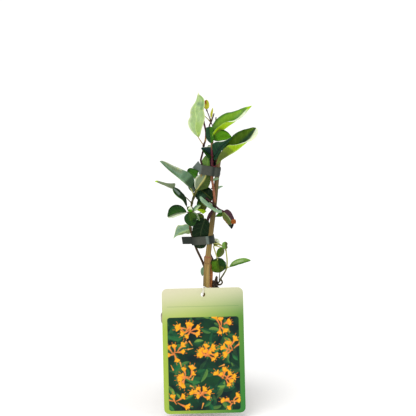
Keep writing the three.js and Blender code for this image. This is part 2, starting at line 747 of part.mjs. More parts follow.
const RIGHT_TWIG = [
  [5.8, -26.2, 239.3],
  [10.5, -26, 235.2],
  [15.3, -25.7, 231.2],
  [19.5, -26.2, 227.4],
  [24.4, -27, 224.6],
];

function leader() {
  const twigs = TIP_TWIGS.map((points) => stem(points, taper(0.7, 0.5), 5, points.length + 2));
  return joined([
    stem(LEADER, leaderRadius, 6),
    stem(RIGHT_TWIG, taper(1.0, 0.9), 5),
    ...twigs,
    ...[...LEADER_LEAVES, ...TIP_LEAVES].map(leaf),
  ]);
}

// The two side shoots start inside the piece they grow from, and are then cut back to leave the
// gap round it.
function leftShoot() {
  const shoot = joined([stem(LEFT, leftRadius, 6), ...LEFT_LEAVES.map(leaf)]);
  return shoot.subtract(stem(LEADER, (t) => leaderRadius(t) + GAP, 12));
}

function lowShoot() {
  const shoot = joined([
    stem(LOW, taper(0.95, 0.6), 6),
    stem(LOW_LOOP, taper(0.7, 0.6), 5),
    ...LOW_LEAVES.map(leaf),
  ]);
  return shoot.subtract(stem(STUMP, (t) => stumpRadius(t) + GAP, 14, 24));
}

// ---------------------------------------------------------------- tapes

// The outline of a belt pulled tight round two posts: an arc at each end and two straight runs.
function beltOutline(left, right, grow) {
  const span = right.x - left.x;
  const rise = right.y - left.y;
  const heading = Math.atan2(rise, span);
  const open = Math.acos((left.r - right.r) / Math.hypot(span, rise));
  const outline = new THREE.Path();
  outline.absarc(right.x, right.y, right.r + grow, heading - open, heading + open, false);
  outline.absarc(left.x, left.y, left.r + grow, heading + open, heading - open + 2 * Math.PI, false);
  outline.closePath();
  return outline;
}

function belt({ left, right, height }) {
  const shape = new THREE.Shape(beltOutline(left, right, 0).getPoints(8));
  shape.holes.push(new THREE.Path(beltOutline(left, right, -TAPE_THICKNESS).getPoints(8)));
  const band = new THREE.ExtrudeGeometry(shape, { depth: height, bevelEnabled: false });
  band.translate(0, 0, -height / 2);
  return solidOf(band);
}

// A flat loose end of tape: a four-cornered strip, given by its corners in order round it.
function tapeEnd(corners, face) {
  const towards = point(face).normalize().multiplyScalar(TAPE_THICKNESS / 2);
  const near = corners.map((c) => point(c).add(towards));
  const far = corners.map((c) => point(c).sub(towards));
  return solidOf(closedRings([far, near]));
}

const UPPER_BELT = {
  left: { x: 0.5, y: -19.8, r: 2.3 },
  right: { x: 18.5, y: -19.1, r: 3.5 },
  height: 10.4,
};
const UPPER_MIDDLE = [10, 0, 268.7];
const UPPER_TILT = 8.5;
const LOWER_BELT = {
  left: { x: -7.9, y: -18.6, r: 2.8 },
  right: { x: 10, y: -19.4, r: 5.6 },
  height: 9.2,
};
const LOWER_MIDDLE = [1.5, 0, 190.4];
const LOWER_TILT = -7;

// The belt is bent in its own flat frame and then tipped about its middle.
function tapeGroup(mesh, middle, tilt) {
  const group = new THREE.Group();
  group.position.set(...middle);
  group.rotation.y = THREE.MathUtils.degToRad(tilt);
  group.add(mesh);
  return group;
}

function upperTape() {
  const band = belt(UPPER_BELT).translate([-UPPER_MIDDLE[0], 0, 0]);
  const tail = tapeEnd(
    [[-10.9, -18.5, -4.2], [-10.9, -18.5, 4.6], [-14.0, -17.4, 8.4], [-19.2, -15.4, -0.4]],
    [-0.2, -1, 0],
  );
  return band.add(tail);
}

function lowerTape() {
  const band = belt(LOWER_BELT).translate([-LOWER_MIDDLE[0], 0, 0]);
  const { height } = LOWER_BELT;
  const low = 0.4 - height / 2;
  const high = height / 2 - 0.4;
  const rise = 2.4; // the end stands a little higher than the belt
  const tail = tapeEnd(
    [
      [-11.2, -20.2, low],
      [-21.9, -21.6, low + rise],
      [-21.9, -21.6, high + rise],
      [-11.2, -20.2, high],
    ],
    [-0.15, -1, 0],
  );
  return band.add(tail);
}

// ---------------------------------------------------------------- label and its tie

function label() {
  const { width, height, cornerRadius, hole, holeRadius, thickness } = LABEL;
  const x = width / 2;
  const y = height / 2;
  const shape = new THREE.Shape();
  shape.absarc(x - cornerRadius, y - cornerRadius, cornerRadius, 0, Math.PI / 2);
  shape.absarc(cornerRadius - x, y - cornerRadius, cornerRadius, Math.PI / 2, Math.PI);
  shape.absarc(cornerRadius - x, cornerRadius - y, cornerRadius, Math.PI, 1.5 * Math.PI);
  shape.absarc(x - cornerRadius, cornerRadius - y, cornerRadius, 1.5 * Math.PI, 2 * Math.PI);
  const eye = new THREE.Path();
  eye.absarc(hole[0], hole[1], holeRadius, 0, 2 * Math.PI, true);
  shape.holes.push(eye);
  return new THREE.ExtrudeGeometry(shape, {
    depth: thickness,
    bevelEnabled: false,
    curveSegments: 8,
  });
}

// The label leans back on the front of the pot's lip.
function labelGroup(mesh) {
  const leaning = new THREE.Group();
  leaning.position.set(0, -POT.lipRadius - GAP, POT.height - 0.8);
  leaning.rotation.x = Math.PI / 2 - THREE.MathUtils.degToRad(LABEL.lean);
  mesh.position.set(LABEL.aside, LABEL.aboveLip - LABEL.height / 2, 0);
  mesh.rotation.z = THREE.MathUtils.degToRad(LABEL.turn);
  leaning.add(mesh);
  return leaning;
}

// One closed loop of cord: round the cane, over the label's top edge, down its front, in through
// its hole and back up behind it.
const TIE_RADIUS = 0.65;
const TIE_ROUTE = [
  [1.7, -23.4, 141],
  [2, -20.4, 141.2],
  [4, -17.9, 141.4],
  [7.2, -17.5, 141.6],
  [10.4, -19.4, 141.9],
  [11.2, -22.6, 142.2],
  [9.8, -25.8, 142.5],
  [6.8, -29, 142.7],
  [4.1, -32.7, 142.6],
  [2.9, -36, 142],
  [2.5, -38.5, 140.2],
  [2.5, -39.1, 137.1],
  [2.5, -39.2, 134.5],
  [2.5, -37.9, 133.1],
  [2.5, -36.2, 133.8],
  [2.4, -34.7, 136.1],
  [2, -31, 139.3],
  [1.7, -27, 140.7],
];

function labelTie() {
  const route = new THREE.CatmullRomCurve3(TIE_ROUTE.map(point), true, "centripetal");
  return new THREE.TubeGeometry(route, 44, TIE_RADIUS, 5, true);
}

// ---------------------------------------------------------------- the whole plant

const plant = new THREE.Group();
const soilHoles = [
  cane(GAP),
  stem(STUMP, (t) => stumpRadius(t) + GAP, 14, 24),
  stem(LEADER, (t) => leaderRadius(t) + GAP, 12),
];
plant.add(
  named("pot", geometryOf(pot()), "pot"),
  named("soil", geometryOf(soil(soilHoles)), "soil"),
  named("bamboo_cane", geometryOf(cane()), "cane"),
  named("woody_stump", geometryOf(stem(STUMP, stumpRadius, 9, 18)), "wood"),
  named("leading_shoot", geometryOf(leader()), "leaf"),
  named("left_shoot", geometryOf(leftShoot()), "leaf"),
  named("low_shoot", geometryOf(lowShoot()), "leaf"),
  tapeGroup(named("upper_tape", geometryOf(upperTape()), "tape"), UPPER_MIDDLE, UPPER_TILT),
  tapeGroup(named("lower_tape", geometryOf(lowerTape()), "tape"), LOWER_MIDDLE, LOWER_TILT),
  labelGroup(named("label", label(), "label")),
  named("label_tie", labelTie(), "tie"),
);

export default plant;
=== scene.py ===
"""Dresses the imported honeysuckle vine: pot, soil, cane, stump, shoots, tapes, label and tie.

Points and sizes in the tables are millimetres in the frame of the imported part: the origin is
the centre of the pot's underside, +Z is up and the label's side is -Y.
"""

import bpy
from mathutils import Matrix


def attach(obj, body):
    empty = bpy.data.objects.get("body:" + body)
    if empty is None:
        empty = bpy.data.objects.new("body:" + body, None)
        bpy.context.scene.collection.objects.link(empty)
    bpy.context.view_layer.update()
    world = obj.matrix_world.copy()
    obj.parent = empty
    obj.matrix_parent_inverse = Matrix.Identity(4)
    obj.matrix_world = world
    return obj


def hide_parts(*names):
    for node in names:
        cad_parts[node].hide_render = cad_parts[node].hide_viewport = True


bl_info = {
    "name": "Honeysuckle Vine in a Nursery Pot",
    "version": (1, 0, 0),
    "blender": (4, 5, 0),
    "location": "View3D > Sidebar > Honeysuckle",
    "description": "Builds a young honeysuckle vine on a cane, with its pot, tapes and label",
    "category": "Add Mesh",
}

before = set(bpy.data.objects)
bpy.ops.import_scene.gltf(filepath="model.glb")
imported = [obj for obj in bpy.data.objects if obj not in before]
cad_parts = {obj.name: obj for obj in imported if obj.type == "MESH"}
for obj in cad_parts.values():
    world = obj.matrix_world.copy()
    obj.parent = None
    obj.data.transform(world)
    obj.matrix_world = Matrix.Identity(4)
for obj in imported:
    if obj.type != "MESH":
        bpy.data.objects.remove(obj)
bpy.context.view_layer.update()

import math
import random

import bpy
import numpy as np
from bpy.props import (
    FloatProperty,
    FloatVectorProperty,
    IntProperty,
    PointerProperty,
)
from mathutils import Matrix, Vector, noise

MM = 0.001


def paint(red, green, blue):
    """A screen colour, 0 to 255 a channel, as the linear colour that shaders use."""
    return tuple((channel / 255) ** 2.2 for channel in (red, green, blue))


def colour_setting(name, description, red, green, blue):
    return FloatVectorProperty(
        name=name,
        description=description,
        subtype="COLOR",
        size=3,
        min=0,
        max=1,
        default=paint(red, green, blue),
    )


def length_setting(name, description, default, low=0.0, high=1.0):
    return FloatProperty(
        name=name,
        description=description,
        default=default,
        min=low,
        max=high,
        unit="LENGTH",
        subtype="DISTANCE",
        precision=5,
    )


def share_setting(name, description, default):
    return FloatProperty(
        name=name, description=description, default=default, min=0, max=1, subtype="FACTOR"
    )


# ---------------------------------------------------------------- settings


class VineFoliage(bpy.types.PropertyGroup):
    blade: length_setting("Blade", "Thickness of a leaf blade", 0.0005, 0.0002, 0.002)
    groove: length_setting("Groove", "Depth of the midrib's groove", 0.00028, 0, 0.001)
    ridge: length_setting("Ridge", "Height of the midrib under a leaf", 0.0004, 0, 0.001)
    quilting: length_setting("Quilting", "Rise of a blade between veins", 0.0003, 0, 0.001)
    rows: FloatProperty(
        name="Rows per millimetre",
        description="Mesh rows along each millimetre of a leaf",
        default=1.05,
        min=0.3,
        max=3,
    )
    gloss: share_setting("Roughness", "Roughness of the upper leaf surface", 0.36)
    night: colour_setting("Night", "Leaf in the deepest shade", 8, 26, 30)
    deep: colour_setting("Deep", "Old leaf in the middle of the plant", 10, 36, 16)
    teal: colour_setting("Teal", "Bluish old leaf", 16, 48, 46)
    shade: colour_setting("Shade", "Grown leaf in the shade", 32, 66, 46)
    dark: colour_setting("Dark", "Upper side of an old leaf", 28, 62, 22)
    mid: colour_setting("Mid", "Upper side of a grown leaf", 54, 104, 22)
    moss: colour_setting("Moss", "Yellowish grown leaf", 66, 94, 16)
    meadow: colour_setting("Meadow", "Soft green leaf", 108, 146, 68)
    fresh: colour_setting("Fresh", "Upper side of a young leaf", 88, 148, 22)
    lime: colour_setting("Lime", "Leaf half that the light shines on", 158, 196, 16)
    young: colour_setting("Young", "Yellowish tip leaf", 184, 186, 60)
    keel: colour_setting("Keel", "Olive foot of a pale leaf", 80, 92, 44)
    olive: colour_setting("Olive", "Ageing leaf", 80, 92, 34)
    silver: colour_setting("Silver", "Sheen on a dark leaf", 128, 148, 138)
    glaucous: colour_setting("Glaucous", "Grey-green underside", 110, 142, 114)
    mint: colour_setting("Mint", "Pale blue-green underside", 132, 164, 134)
    sage: colour_setting("Sage", "Grey-green half of a curled leaf", 114, 128, 100)
    spring: colour_setting("Spring", "Soft underside of a young leaf", 160, 188, 128)
    pale: colour_setting("Pale", "Pale underside of a young leaf", 186, 208, 160)
    straw: colour_setting("Straw", "Midrib of a pale leaf", 190, 184, 112)
    cream: colour_setting("Cream", "Leaf rim and midrib", 226, 232, 176)
    # Frost is also laid over some leaves as a painted highlight on their pale undersides.
    frost: colour_setting("Frost", "Whitish underside", 222, 232, 206)
    purple: colour_setting("Purple", "Frosted leaf", 70, 46, 56)
    rust: colour_setting("Rust", "Withered tip", 138, 74, 28)


class VineStems(bpy.types.PropertyGroup):
    joint: length_setting("Joint", "Swelling of a stem where a leaf grows", 0.00035, 0, 0.002)
    bud: length_setting("Bud", "Length of the bud in a leaf's axil", 0.0024, 0, 0.01)
    maroon: colour_setting("Maroon", "Young twining stem", 96, 42, 52)
    plum: colour_setting("Plum", "Darkest young stem", 58, 30, 34)
    salmon: colour_setting("Salmon", "Sunlit twining stem", 146, 94, 68)
    orange: colour_setting("Orange", "Sunlit woody stem", 178, 112, 62)
    umber: colour_setting("Umber", "Shaded stem", 66, 46, 26)
    tan: colour_setting("Tan", "Woody young stem", 168, 140, 84)
    straw: colour_setting("Straw", "Green-yellow side shoot", 182, 182, 104)
    moss: colour_setting("Moss", "Olive stem", 76, 76, 32)
    bark: colour_setting("Bark", "Old bark", 90, 74, 58)
    peeling: colour_setting("Peeling", "Bleached bark that peels", 138, 120, 98)


class VineCane(bpy.types.PropertyGroup):
    tan: colour_setting("Cane", "Dry bamboo", 168, 140, 82)
    green: colour_setting("Streak", "Greenish streaks on the cane", 110, 94, 52)
    red: colour_setting("Stain", "Stains at the cane's joints", 142, 84, 62)
    pith: colour_setting("Cut end", "Cut wood at the cane's top", 214, 192, 140)
    sides: IntProperty(
        name="Sides", description="Facets round the cane", default=36, min=8, max=96
    )
    roughness: share_setting("Roughness", "Roughness of the cane", 0.5)


class VinePot(bpy.types.PropertyGroup):
    plastic: colour_setting("Plastic", "Taupe pot plastic", 150, 139, 122)
    dust: colour_setting("Dust", "Dried soil on the pot", 96, 78, 60)
    soil: colour_setting("Soil", "Damp potting soil", 54, 38, 27)
    crumb: colour_setting("Crumbs", "Bark and peat crumbs", 92, 66, 44)
    perlite: colour_setting("Perlite", "White perlite grains", 222, 218, 206)
    segments: IntProperty(
        name="Segments", description="Facets round the pot", default=112, min=16, max=256
    )
    crumbs: IntProperty(
        name="Crumbs", description="Loose crumbs on the soil", default=620, min=0, max=3000
    )


class VineTape(bpy.types.PropertyGroup):
    film: length_setting("Film", "Thickness of the tying tape", 0.00055, 0.0002, 0.002)
    pale: colour_setting("Sheen", "Tape where it catches the light", 98, 110, 102)
    grey: colour_setting("Tape", "Tape over the stems", 64, 68, 59)
    # Shade is painted shade on the film, partly the dark leaves behind it showing through.
    dark: colour_setting("Shade", "Tape over dark leaves", 18, 31, 20)


class VineLabel(bpy.types.PropertyGroup):
    cell: length_setting("Print cell", "Spacing of the print's points", 0.00044, 0.0003, 0.003)
    sand: colour_setting("Sand", "Top of the label", 214, 210, 178)
    lime: colour_setting("Lime", "Left side of the label", 160, 184, 72)
    forest: colour_setting("Forest", "Lower right side of the label", 34, 116, 52)
    night: colour_setting("Night", "Deepest shade in the picture", 8, 30, 36)
    leaf: colour_setting("Leaf", "Leaves in the picture", 36, 110, 62)
    sun: colour_setting("Sun", "Sunlit leaves in the picture", 132, 168, 66)
    petal: colour_setting("Petal", "Petals in the picture", 252, 176, 36)
    throat: colour_setting("Throat", "Flower throats in the picture", 226, 118, 26)
    tube: colour_setting("Tube", "Flower tubes in the picture", 226, 138, 84)
    card: colour_setting("Card", "Plain back of the label", 226, 226, 214)
    cord: colour_setting("Cord", "White tie", 236, 234, 226)


class VineStage(bpy.types.PropertyGroup):
    floor: share_setting("Floor", "Brightness of the pale floor", 0.97)
    ambient: FloatProperty(
        name="Ambient", description="Light from all round", default=0.66, min=0, max=5
    )
    key: FloatProperty(
        name="Key light",
        description="Strength of the soft light from above",
        default=1.6,
        min=0,
    )
    softness: FloatProperty(
        name="Softness",
        description="How wide the light from above looks",
        default=math.radians(50),
        min=0,
        max=math.pi,
        unit="ROTATION",
        subtype="ANGLE",
    )
    fill: FloatProperty(
        name="Fill light",
        description="Power of the smaller light on the right",
        default=5,
        min=0,
        unit="POWER",
    )
    distance: length_setting("Distance", "From the camera to its aim", 2.0, 0.2, 20)
    lens: FloatProperty(
        name="Lens", description="Focal length", default=155.93, unit="CAMERA", min=10
    )


class VineSettings(bpy.types.PropertyGroup):
    foliage: PointerProperty(type=VineFoliage, name="Foliage", description="Leaf settings")
    stems: PointerProperty(type=VineStems, name="Stems", description="Stem settings")
    cane: PointerProperty(type=VineCane, name="Cane", description="Cane settings")
    pot: PointerProperty(type=VinePot, name="Pot", description="Pot and soil settings")
    tape: PointerProperty(type=VineTape, name="Tapes", description="Tying tape settings")
    label: PointerProperty(type=VineLabel, name="Label", description="Label settings")
    stage: PointerProperty(type=VineStage, name="Stage", description="Stage settings")


# ---------------------------------------------------------------- meshes


class Skin:
    """Points, faces and their colours, gathered for one mesh. Points are millimetres."""

    def __init__(self):
        self.points = []
        self.faces = []
        self.tints = []
        self.grains = []
        self.blades = []
        self.surfaces = []

    def add(self, points, faces, tints, grains, blades=None, surface=0):
        """Adds a form. blades says where on a leaf a point lies: across, along, side up.

        surface is the number of the form's material.
        """
        start = len(self.points)
        self.points.extend(map(tuple, points))
        self.faces.extend([start + corner for corner in face] for face in faces)
        self.tints.extend(map(tuple, tints))
        self.grains.extend(map(tuple, grains))
        self.blades.extend(map(tuple, blades if blades is not None else [(9, 9, 0)] * len(points)))
        self.surfaces.extend([surface] * len(faces))


def clear(name):
    old = bpy.data.objects.get(name)
    if old is not None:
        bpy.data.objects.remove(old)


def piece(name, skin, materials, node_name, crease=55):
    """Turns a skin into an object that stands for a node of the part."""
    clear(name)
    mesh = bpy.data.meshes.new(name)
    mesh.from_pydata([Vector(point) * MM for point in skin.points], [], skin.faces)
    for key, kind, field, values in (
        ("tint", "FLOAT_COLOR", "color", [(*tint, 1) for tint in skin.tints]),
        ("grain", "FLOAT_VECTOR", "vector", skin.grains),
        ("blade", "FLOAT_VECTOR", "vector", skin.blades),
    ):
        layer = mesh.attributes.new(key, kind, "POINT")
        layer.data.foreach_set(field, np.array(values, "f").ravel())
    for material in materials:
        mesh.materials.append(material)
    mesh.polygons.foreach_set("material_index", skin.surfaces)
    mesh.validate()
    mesh.shade_smooth()
    mesh.set_sharp_from_angle(angle=math.radians(crease))
    made = bpy.data.objects.new(name, mesh)
    bpy.context.scene.collection.objects.link(made)
    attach(made, "root")
    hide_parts(node_name)


def smoothly(low, high, value):
    """0 at low, 1 at high, and a soft rise between."""
    share = np.clip((value - low) / (high - low), 0, 1)
    return share * share * (3 - 2 * share)


def round_angles(count):
    """Angles at even steps of one full turn."""
    return [2 * math.pi * k / count for k in range(count)]


def grid_faces(rows, columns, wrap, flip=False, closed=False):
    """Quads of a grid of points stored row by row.

    wrap joins the last column to the first, and closed joins the last row to the first.
    """
    faces = []
    for row in range(rows if closed else rows - 1):
        here, above = row * columns, (row + 1) % rows * columns
        for column in range(columns if wrap else columns - 1):
            beside = (column + 1) % columns
            quad = [here + column, here + beside, above + beside, above + column]
            faces.append(quad[::-1] if flip else quad)
    return faces


def sheet_faces(rows, columns, flip=False):
    """Faces of a thin sheet: a grid of points and, after them, as many for its other side."""
    count = rows * columns
    faces = grid_faces(rows, columns, wrap=False, flip=flip)
    faces += [[count + corner for corner in face[::-1]] for face in faces]
    rim = list(range(columns)) + [row * columns + columns - 1 for row in range(1, rows)]
    rim += [count - 1 - column for column in range(1, columns)]
    rim += [row * columns for row in range(rows - 2, 0, -1)]
    for a, b in zip(rim, rim[1:] + rim[:1]):
        faces.append([a, b, count + b, count + a] if flip else [b, a, count + a, count + b])
    return faces


def turned_faces(rows, columns):
    """Faces of a turned form, with its first and last rows closed flat."""
    last = (rows - 1) * columns
    ends = [list(range(columns))[::-1], [last + column for column in range(columns)]]
    return grid_faces(rows, columns, wrap=True) + ends


# ---------------------------------------------------------------- curves and tubes

CURVE_STEPS = 14  # points worked out between two given ones
CAP_RISE = 0.35  # height of a stem's rounded end, as a share of its radius


def smooth_path(points, closed=False):
    """Many points on the centripetal curve through the given ones."""
    given = [Vector(p) for p in points]
    if closed:
        posts = [given[-1], *given, given[0], given[1]]
    else:
        posts = [given[0] * 2 - given[1], *given, given[-1] * 2 - given[-2]]
    path = []
    for p0, p1, p2, p3 in zip(posts, posts[1:], posts[2:], posts[3:]):
        d0, d1, d2 = (max((b - a).length, 1e-6) ** 0.5 for a, b in ((p0, p1), (p1, p2), (p2, p3)))
        leave = ((p1 - p0) / d0 - (p2 - p0) / (d0 + d1) + (p2 - p1) / d1) * d1
        arrive = ((p2 - p1) / d1 - (p3 - p1) / (d1 + d2) + (p3 - p2) / d2) * d1
        for k in range(CURVE_STEPS):
            s = k / CURVE_STEPS
            path.append(
                p1 * (2 * s**3 - 3 * s**2 + 1)
                + leave * (s**3 - 2 * s**2 + s)
                + p2 * (3 * s**2 - 2 * s**3)
                + arrive * (s**3 - s**2)
            )
    path.append(given[0] if closed else given[-1])
    return path


def evenly(path, step):
    """Points at even distances along a path, with the path's length."""
    reach = [0.0]
    for a, b in zip(path, path[1:]):
        reach.append(reach[-1] + (b - a).length)
    count = max(2, round(reach[-1] / step))
    spots, k = [], 0
    for i in range(count + 1):
        target = reach[-1] * i / count
        while k < len(path) - 2 and reach[k + 1] < target:
            k += 1
        span = max(reach[k + 1] - reach[k], 1e-9)
        spots.append(path[k].lerp(path[k + 1], min(1, max(0, (target - reach[k]) / span))))
    return spots, reach[-1]


def square_to(heading):
    """A direction square to a heading."""
    guide = Vector((0, 0, 1)) if abs(heading.z) < 0.9 else Vector((1, 0, 0))
    return heading.cross(guide).normalized()


def axes_along(spots, closed=False):
    """A heading and two cross directions at each spot, turned as little as possible."""
    axes = []
    across = None
    count = len(spots)
    for i in range(count):
        if closed:
            heading = (spots[(i + 1) % count] - spots[i - 1]).normalized()
        else:
            heading = (spots[min(i + 1, count - 1)] - spots[max(i - 1, 0)]).normalized()
        across = square_to(heading) if across is None else across
        across = (across - heading * across.dot(heading)).normalized()
        axes.append((heading, across, heading.cross(across)))
    if closed:
        heading, first, other = axes[0]
        back = (across - heading * across.dot(heading)).normalized()
        slip = math.atan2(back.dot(other), back.dot(first))
        for i, (heading, across, other) in enumerate(axes):
            spin = Matrix.Rotation(-slip * i / count, 3, heading)
            axes[i] = (heading, spin @ across, spin @ other)
    return axes


def outward(axes, angle):
    """The way out from a stem's middle at an angle round it."""
    return axes[1] * math.cos(angle) + axes[2] * math.sin(angle)


def tube(skin, points, radius_at, tint_at, sides, step, seed=0):
    """A round stem along a smooth path. radius_at and tint_at take share, angle and spot."""
    spots, length = evenly(smooth_path(points), step)
    axes = axes_along(spots)
    last = len(spots) - 1
    ring_points, tints, grains = [], [], []
    for i, spot in enumerate(spots):
        share = i / last
        for angle in round_angles(sides):
            ring_points.append(spot + outward(axes[i], angle) * radius_at(share, angle, spot))
            tints.append(tint_at(share, angle, spot))
            grains.append((math.cos(angle) + seed, math.sin(angle), share * length))
    faces = grid_faces(len(spots), sides, wrap=True)
    for ring, way in ((0, 1), (last, -1)):
        share, spot = ring / last, spots[ring]
        cap = CAP_RISE * way * radius_at(share, 0.0, spot)
        middle = len(ring_points)
        ring_points.append(spot - axes[ring][0] * cap)
        tints.append(tint_at(share, 0.0, spot))
        grains.append((seed, 0, share * length))
        for side in range(sides):
            edge = [ring * sides + (side + 1) % sides, ring * sides + side]
            faces.append([middle, *edge][::way])
    skin.add(ring_points, faces, tints, grains)
    return spots, axes


def between(stops, share):
    """The colour at a share of the way through (share, colour) stops."""
    for (low, a), (high, b) in zip(stops, stops[1:]):
        if share <= high:
            part = (share - low) / max(high - low, 1e-9)
            return tuple(x + (y - x) * min(1, max(0, part)) for x, y in zip(a, b))
    return tuple(stops[-1][1])


def taper(start, end):
    """A radius that runs evenly from start to end with the share along a stem."""
    return lambda share, *where: start + (end - start) * share


def bell(offset, reach):
    """1 at no offset, falling smoothly to almost 0 at twice the reach."""
    return math.exp(-((offset / reach) ** 2))


def skin_noise(angle, size, along):
    """Noise on a stem's skin that joins up round the stem."""
    return noise.noise(Vector((math.cos(angle) * size, math.sin(angle) * size, along)))


def lump(skin, foot, heading, length, width, tint, seed, rings=7, sides=8, rough=0.0):
    """A closed pointed or rounded grain, such as a bud or a crumb of soil."""
    foot, heading = Vector(foot), Vector(heading).normalized()
    across = square_to(heading)
    axes = (heading, across, heading.cross(across))
    points = [foot]
    for ring in range(1, rings):
        share = ring / rings
        girth = width / 2 * math.sin(math.pi * share**0.75) ** 0.8
        for side, angle in enumerate(round_angles(sides)):
            uneven = 1 + rough * noise.noise(Vector((seed * 7.1, ring * 0.9, side * 1.3)))
            points.append(foot + heading * (length * share) + outward(axes, angle) * girth * uneven)
    points.append(foot + heading * length)
    last = len(points) - 1
    top = last - sides
    faces = [[0, 1 + (s + 1) % sides, 1 + s] for s in range(sides)]
    faces += [[1 + corner for corner in face] for face in grid_faces(rings - 1, sides, wrap=True)]
    faces += [[top + s, top + (s + 1) % sides, last] for s in range(sides)]
    grains = [(p.x + seed, p.y, p.z) for p in points]
    skin.add(points, faces, [tint] * len(points), grains)


# ---------------------------------------------------------------- leaves

# A leaf's table entry: root is where its stalk leaves the stem, via any points that the stalk
# passes, base, mid and tip the points of its midrib, and face the way that its upper side looks.
# left and right are the half widths of its two sides at even steps of a half turn from base to
# tip; without them, width is the full width of a plain leaf. fold raises the sides in degrees:
# one angle, or one for each side, or a row of angles from base to tip for each side. bow and
# sway bend a midrib without mid points, arch swells the blade, wave lifts its edges and stalk is
# the stalk's radius at its root. top and under name the colours of the two halves, and marks
# lays patches over them: the surface, from and to along the leaf, from and to across it, the
# colour and its strength. rim colours both edges, and tip_tint the tip from tip_from on.
PROFILE = (0.5, 0.92, 1.0, 0.74, 0.34)  # half widths of a plain leaf, as shares of its widest
LEAF = {
    "via": (),
    "mid": (),
    "left": None,
    "right": None,
    "width": 10,
    "bow": 0.04,
    "sway": 0,
    "wave": 0.3,
    "stalk": 0.6,
    "arch": 0.07,
    "top": ("dark", "dark"),
    "under": ("glaucous", "glaucous"),
    "marks": (),
    "tip_tint": None,
    "tip_from": 0.8,
    "rim": None,
    "stalk_tint": "moss",
}
FEWEST_ROWS, MOST_ROWS = 14, 52
SMALL_LEAF = 12  # a shorter leaf has fewer columns of points
SMALL_COLUMNS, COLUMNS = 11, 19
FULL_RELIEF = 8  # half width from which a blade's veins and waves are fully grown
WAVES = 2.5
EDGE_FRILL = 0.22
GROOVE_REACH, RIDGE_REACH = 0.75, 0.6  # half widths of the midrib above and below
VEIN_RIDGE = 0.12  # height of the side veins under a leaf
VEIN_PAIRS = 6.5
VEIN_RAKE = 0.2  # how far a side vein runs on towards the tip
TIP_HALF_WIDTH = 0.16
ROOT_SHARE = 0.07  # the stalk runs on under the blade for this share of its length
STALK_END = 0.42  # radius
SHORTEST_WITH_BUD = 14
BUD_WIDTH = 1.1
MARK_SOFTNESS = (0.035, 0.1)  # along and across the leaf
HALVES_SOFTNESS = 0.06
RIM_WIDTH = 0.09  # share of a half width that the rim's colour covers


def half_width(values, t):
    """Half widths at shares t of a blade, on a smooth curve through the given ones."""
    posts = np.array([-values[0], 0, *values, 0, -values[-1]], float)
    along = np.arccos(np.clip(1 - 2 * t, -1, 1)) / math.pi * (len(values) + 1)
    k = np.clip(along.astype(int), 0, len(values))
    s = along - k
    p0, p1, p2, p3 = (posts[k + i] for i in range(4))
    bend = 2 * p0 - 5 * p1 + 4 * p2 - p3 + s * (3 * (p1 - p2) + p3 - p0)
    return np.maximum(p1 + s / 2 * (p2 - p0 + s * bend), TIP_HALF_WIDTH)


def fold_angle(angles, t):
    angles = np.radians(np.atleast_1d(angles))
    return np.interp(t, np.linspace(0, 1, len(angles)), angles)


def lengths(vectors):
    return np.linalg.norm(vectors, axis=-1, keepdims=True)


def midrib(spec, t):
    """Points at shares t of a midrib, the ways across and up from the blade, and its length."""
    base, tip, up = (np.array(spec[key], float) for key in ("base", "tip", "face"))
    chord = tip - base
    aside = np.cross(chord, up)
    aside *= lengths(chord) / lengths(aside)
    lift = np.cross(aside, chord) / lengths(chord)
    middle = (base + tip) / 2 + lift * spec["bow"] + aside * spec["sway"]
    path = np.array(smooth_path([base, *(spec["mid"] or [middle]), tip]))
    reach = np.concatenate([[0], np.cumsum(lengths(np.diff(path, axis=0))[:, 0])])
    rib = np.stack([np.interp(t * reach[-1], reach, path[:, k]) for k in range(3)], axis=1)
    along = np.gradient(rib, axis=0)
    along /= lengths(along)
    up = up - along * (along @ up)[:, None]
    up /= lengths(up)
    return rib, np.cross(along, up), up, reach[-1]


def leaf_section(spec, foliage, number, t, u):
    """How far out and up from the midrib a blade's points lie, its thickness and its ridge.

    t is the share along the blade, and u the share of the half width, from -1 to 1.
    """
    a = np.abs(u)
    left = u < 0
    plain = [spec["width"] / 2 * share for share in PROFILE]
    half = np.where(left, *(half_width(spec[key] or plain, t) for key in ("left", "right")))
    reach = a * half
    body = 4 * a * (1 - a)
    veins = np.abs(np.sin(math.pi * (t - VEIN_RAKE * a) * VEIN_PAIRS))
    size = np.minimum(1, half / FULL_RELIEF)
    quilting = foliage.quilting / MM * (veins**0.7 - 0.6) * body * size
    ripple = spec["wave"] * size * u**2 * np.sin(2 * math.pi * WAVES * t + u)
    ripple += EDGE_FRILL * size * a**3 * np.sin(23 * t + 5 * np.sign(u) + number)
    groove = -foliage.groove / MM * np.exp(-((reach / GROOVE_REACH) ** 2)) * size
    relief = spec["arch"] * half * body + quilting + ripple + groove
    folds = spec["fold"] if isinstance(spec["fold"], tuple) else (spec["fold"], spec["fold"])
    fold = np.where(left, *(fold_angle(angles, t) for angles in folds))
    out = np.sign(u) * (reach * np.cos(fold) - relief * np.sin(fold))
    rise = reach * np.sin(fold) + relief * np.cos(fold)
    thickness = foliage.blade / MM * (1 - 0.55 * a**4) * np.clip(1.25 - t, 0.5, 1)
    ridge = foliage.ridge / MM * np.exp(-((reach / RIDGE_REACH) ** 2)) * (1.1 - t) * size
    ridge += VEIN_RIDGE * size * body * np.clip(1 - 6 * veins, 0, 1)
    return out, rise, thickness, ridge


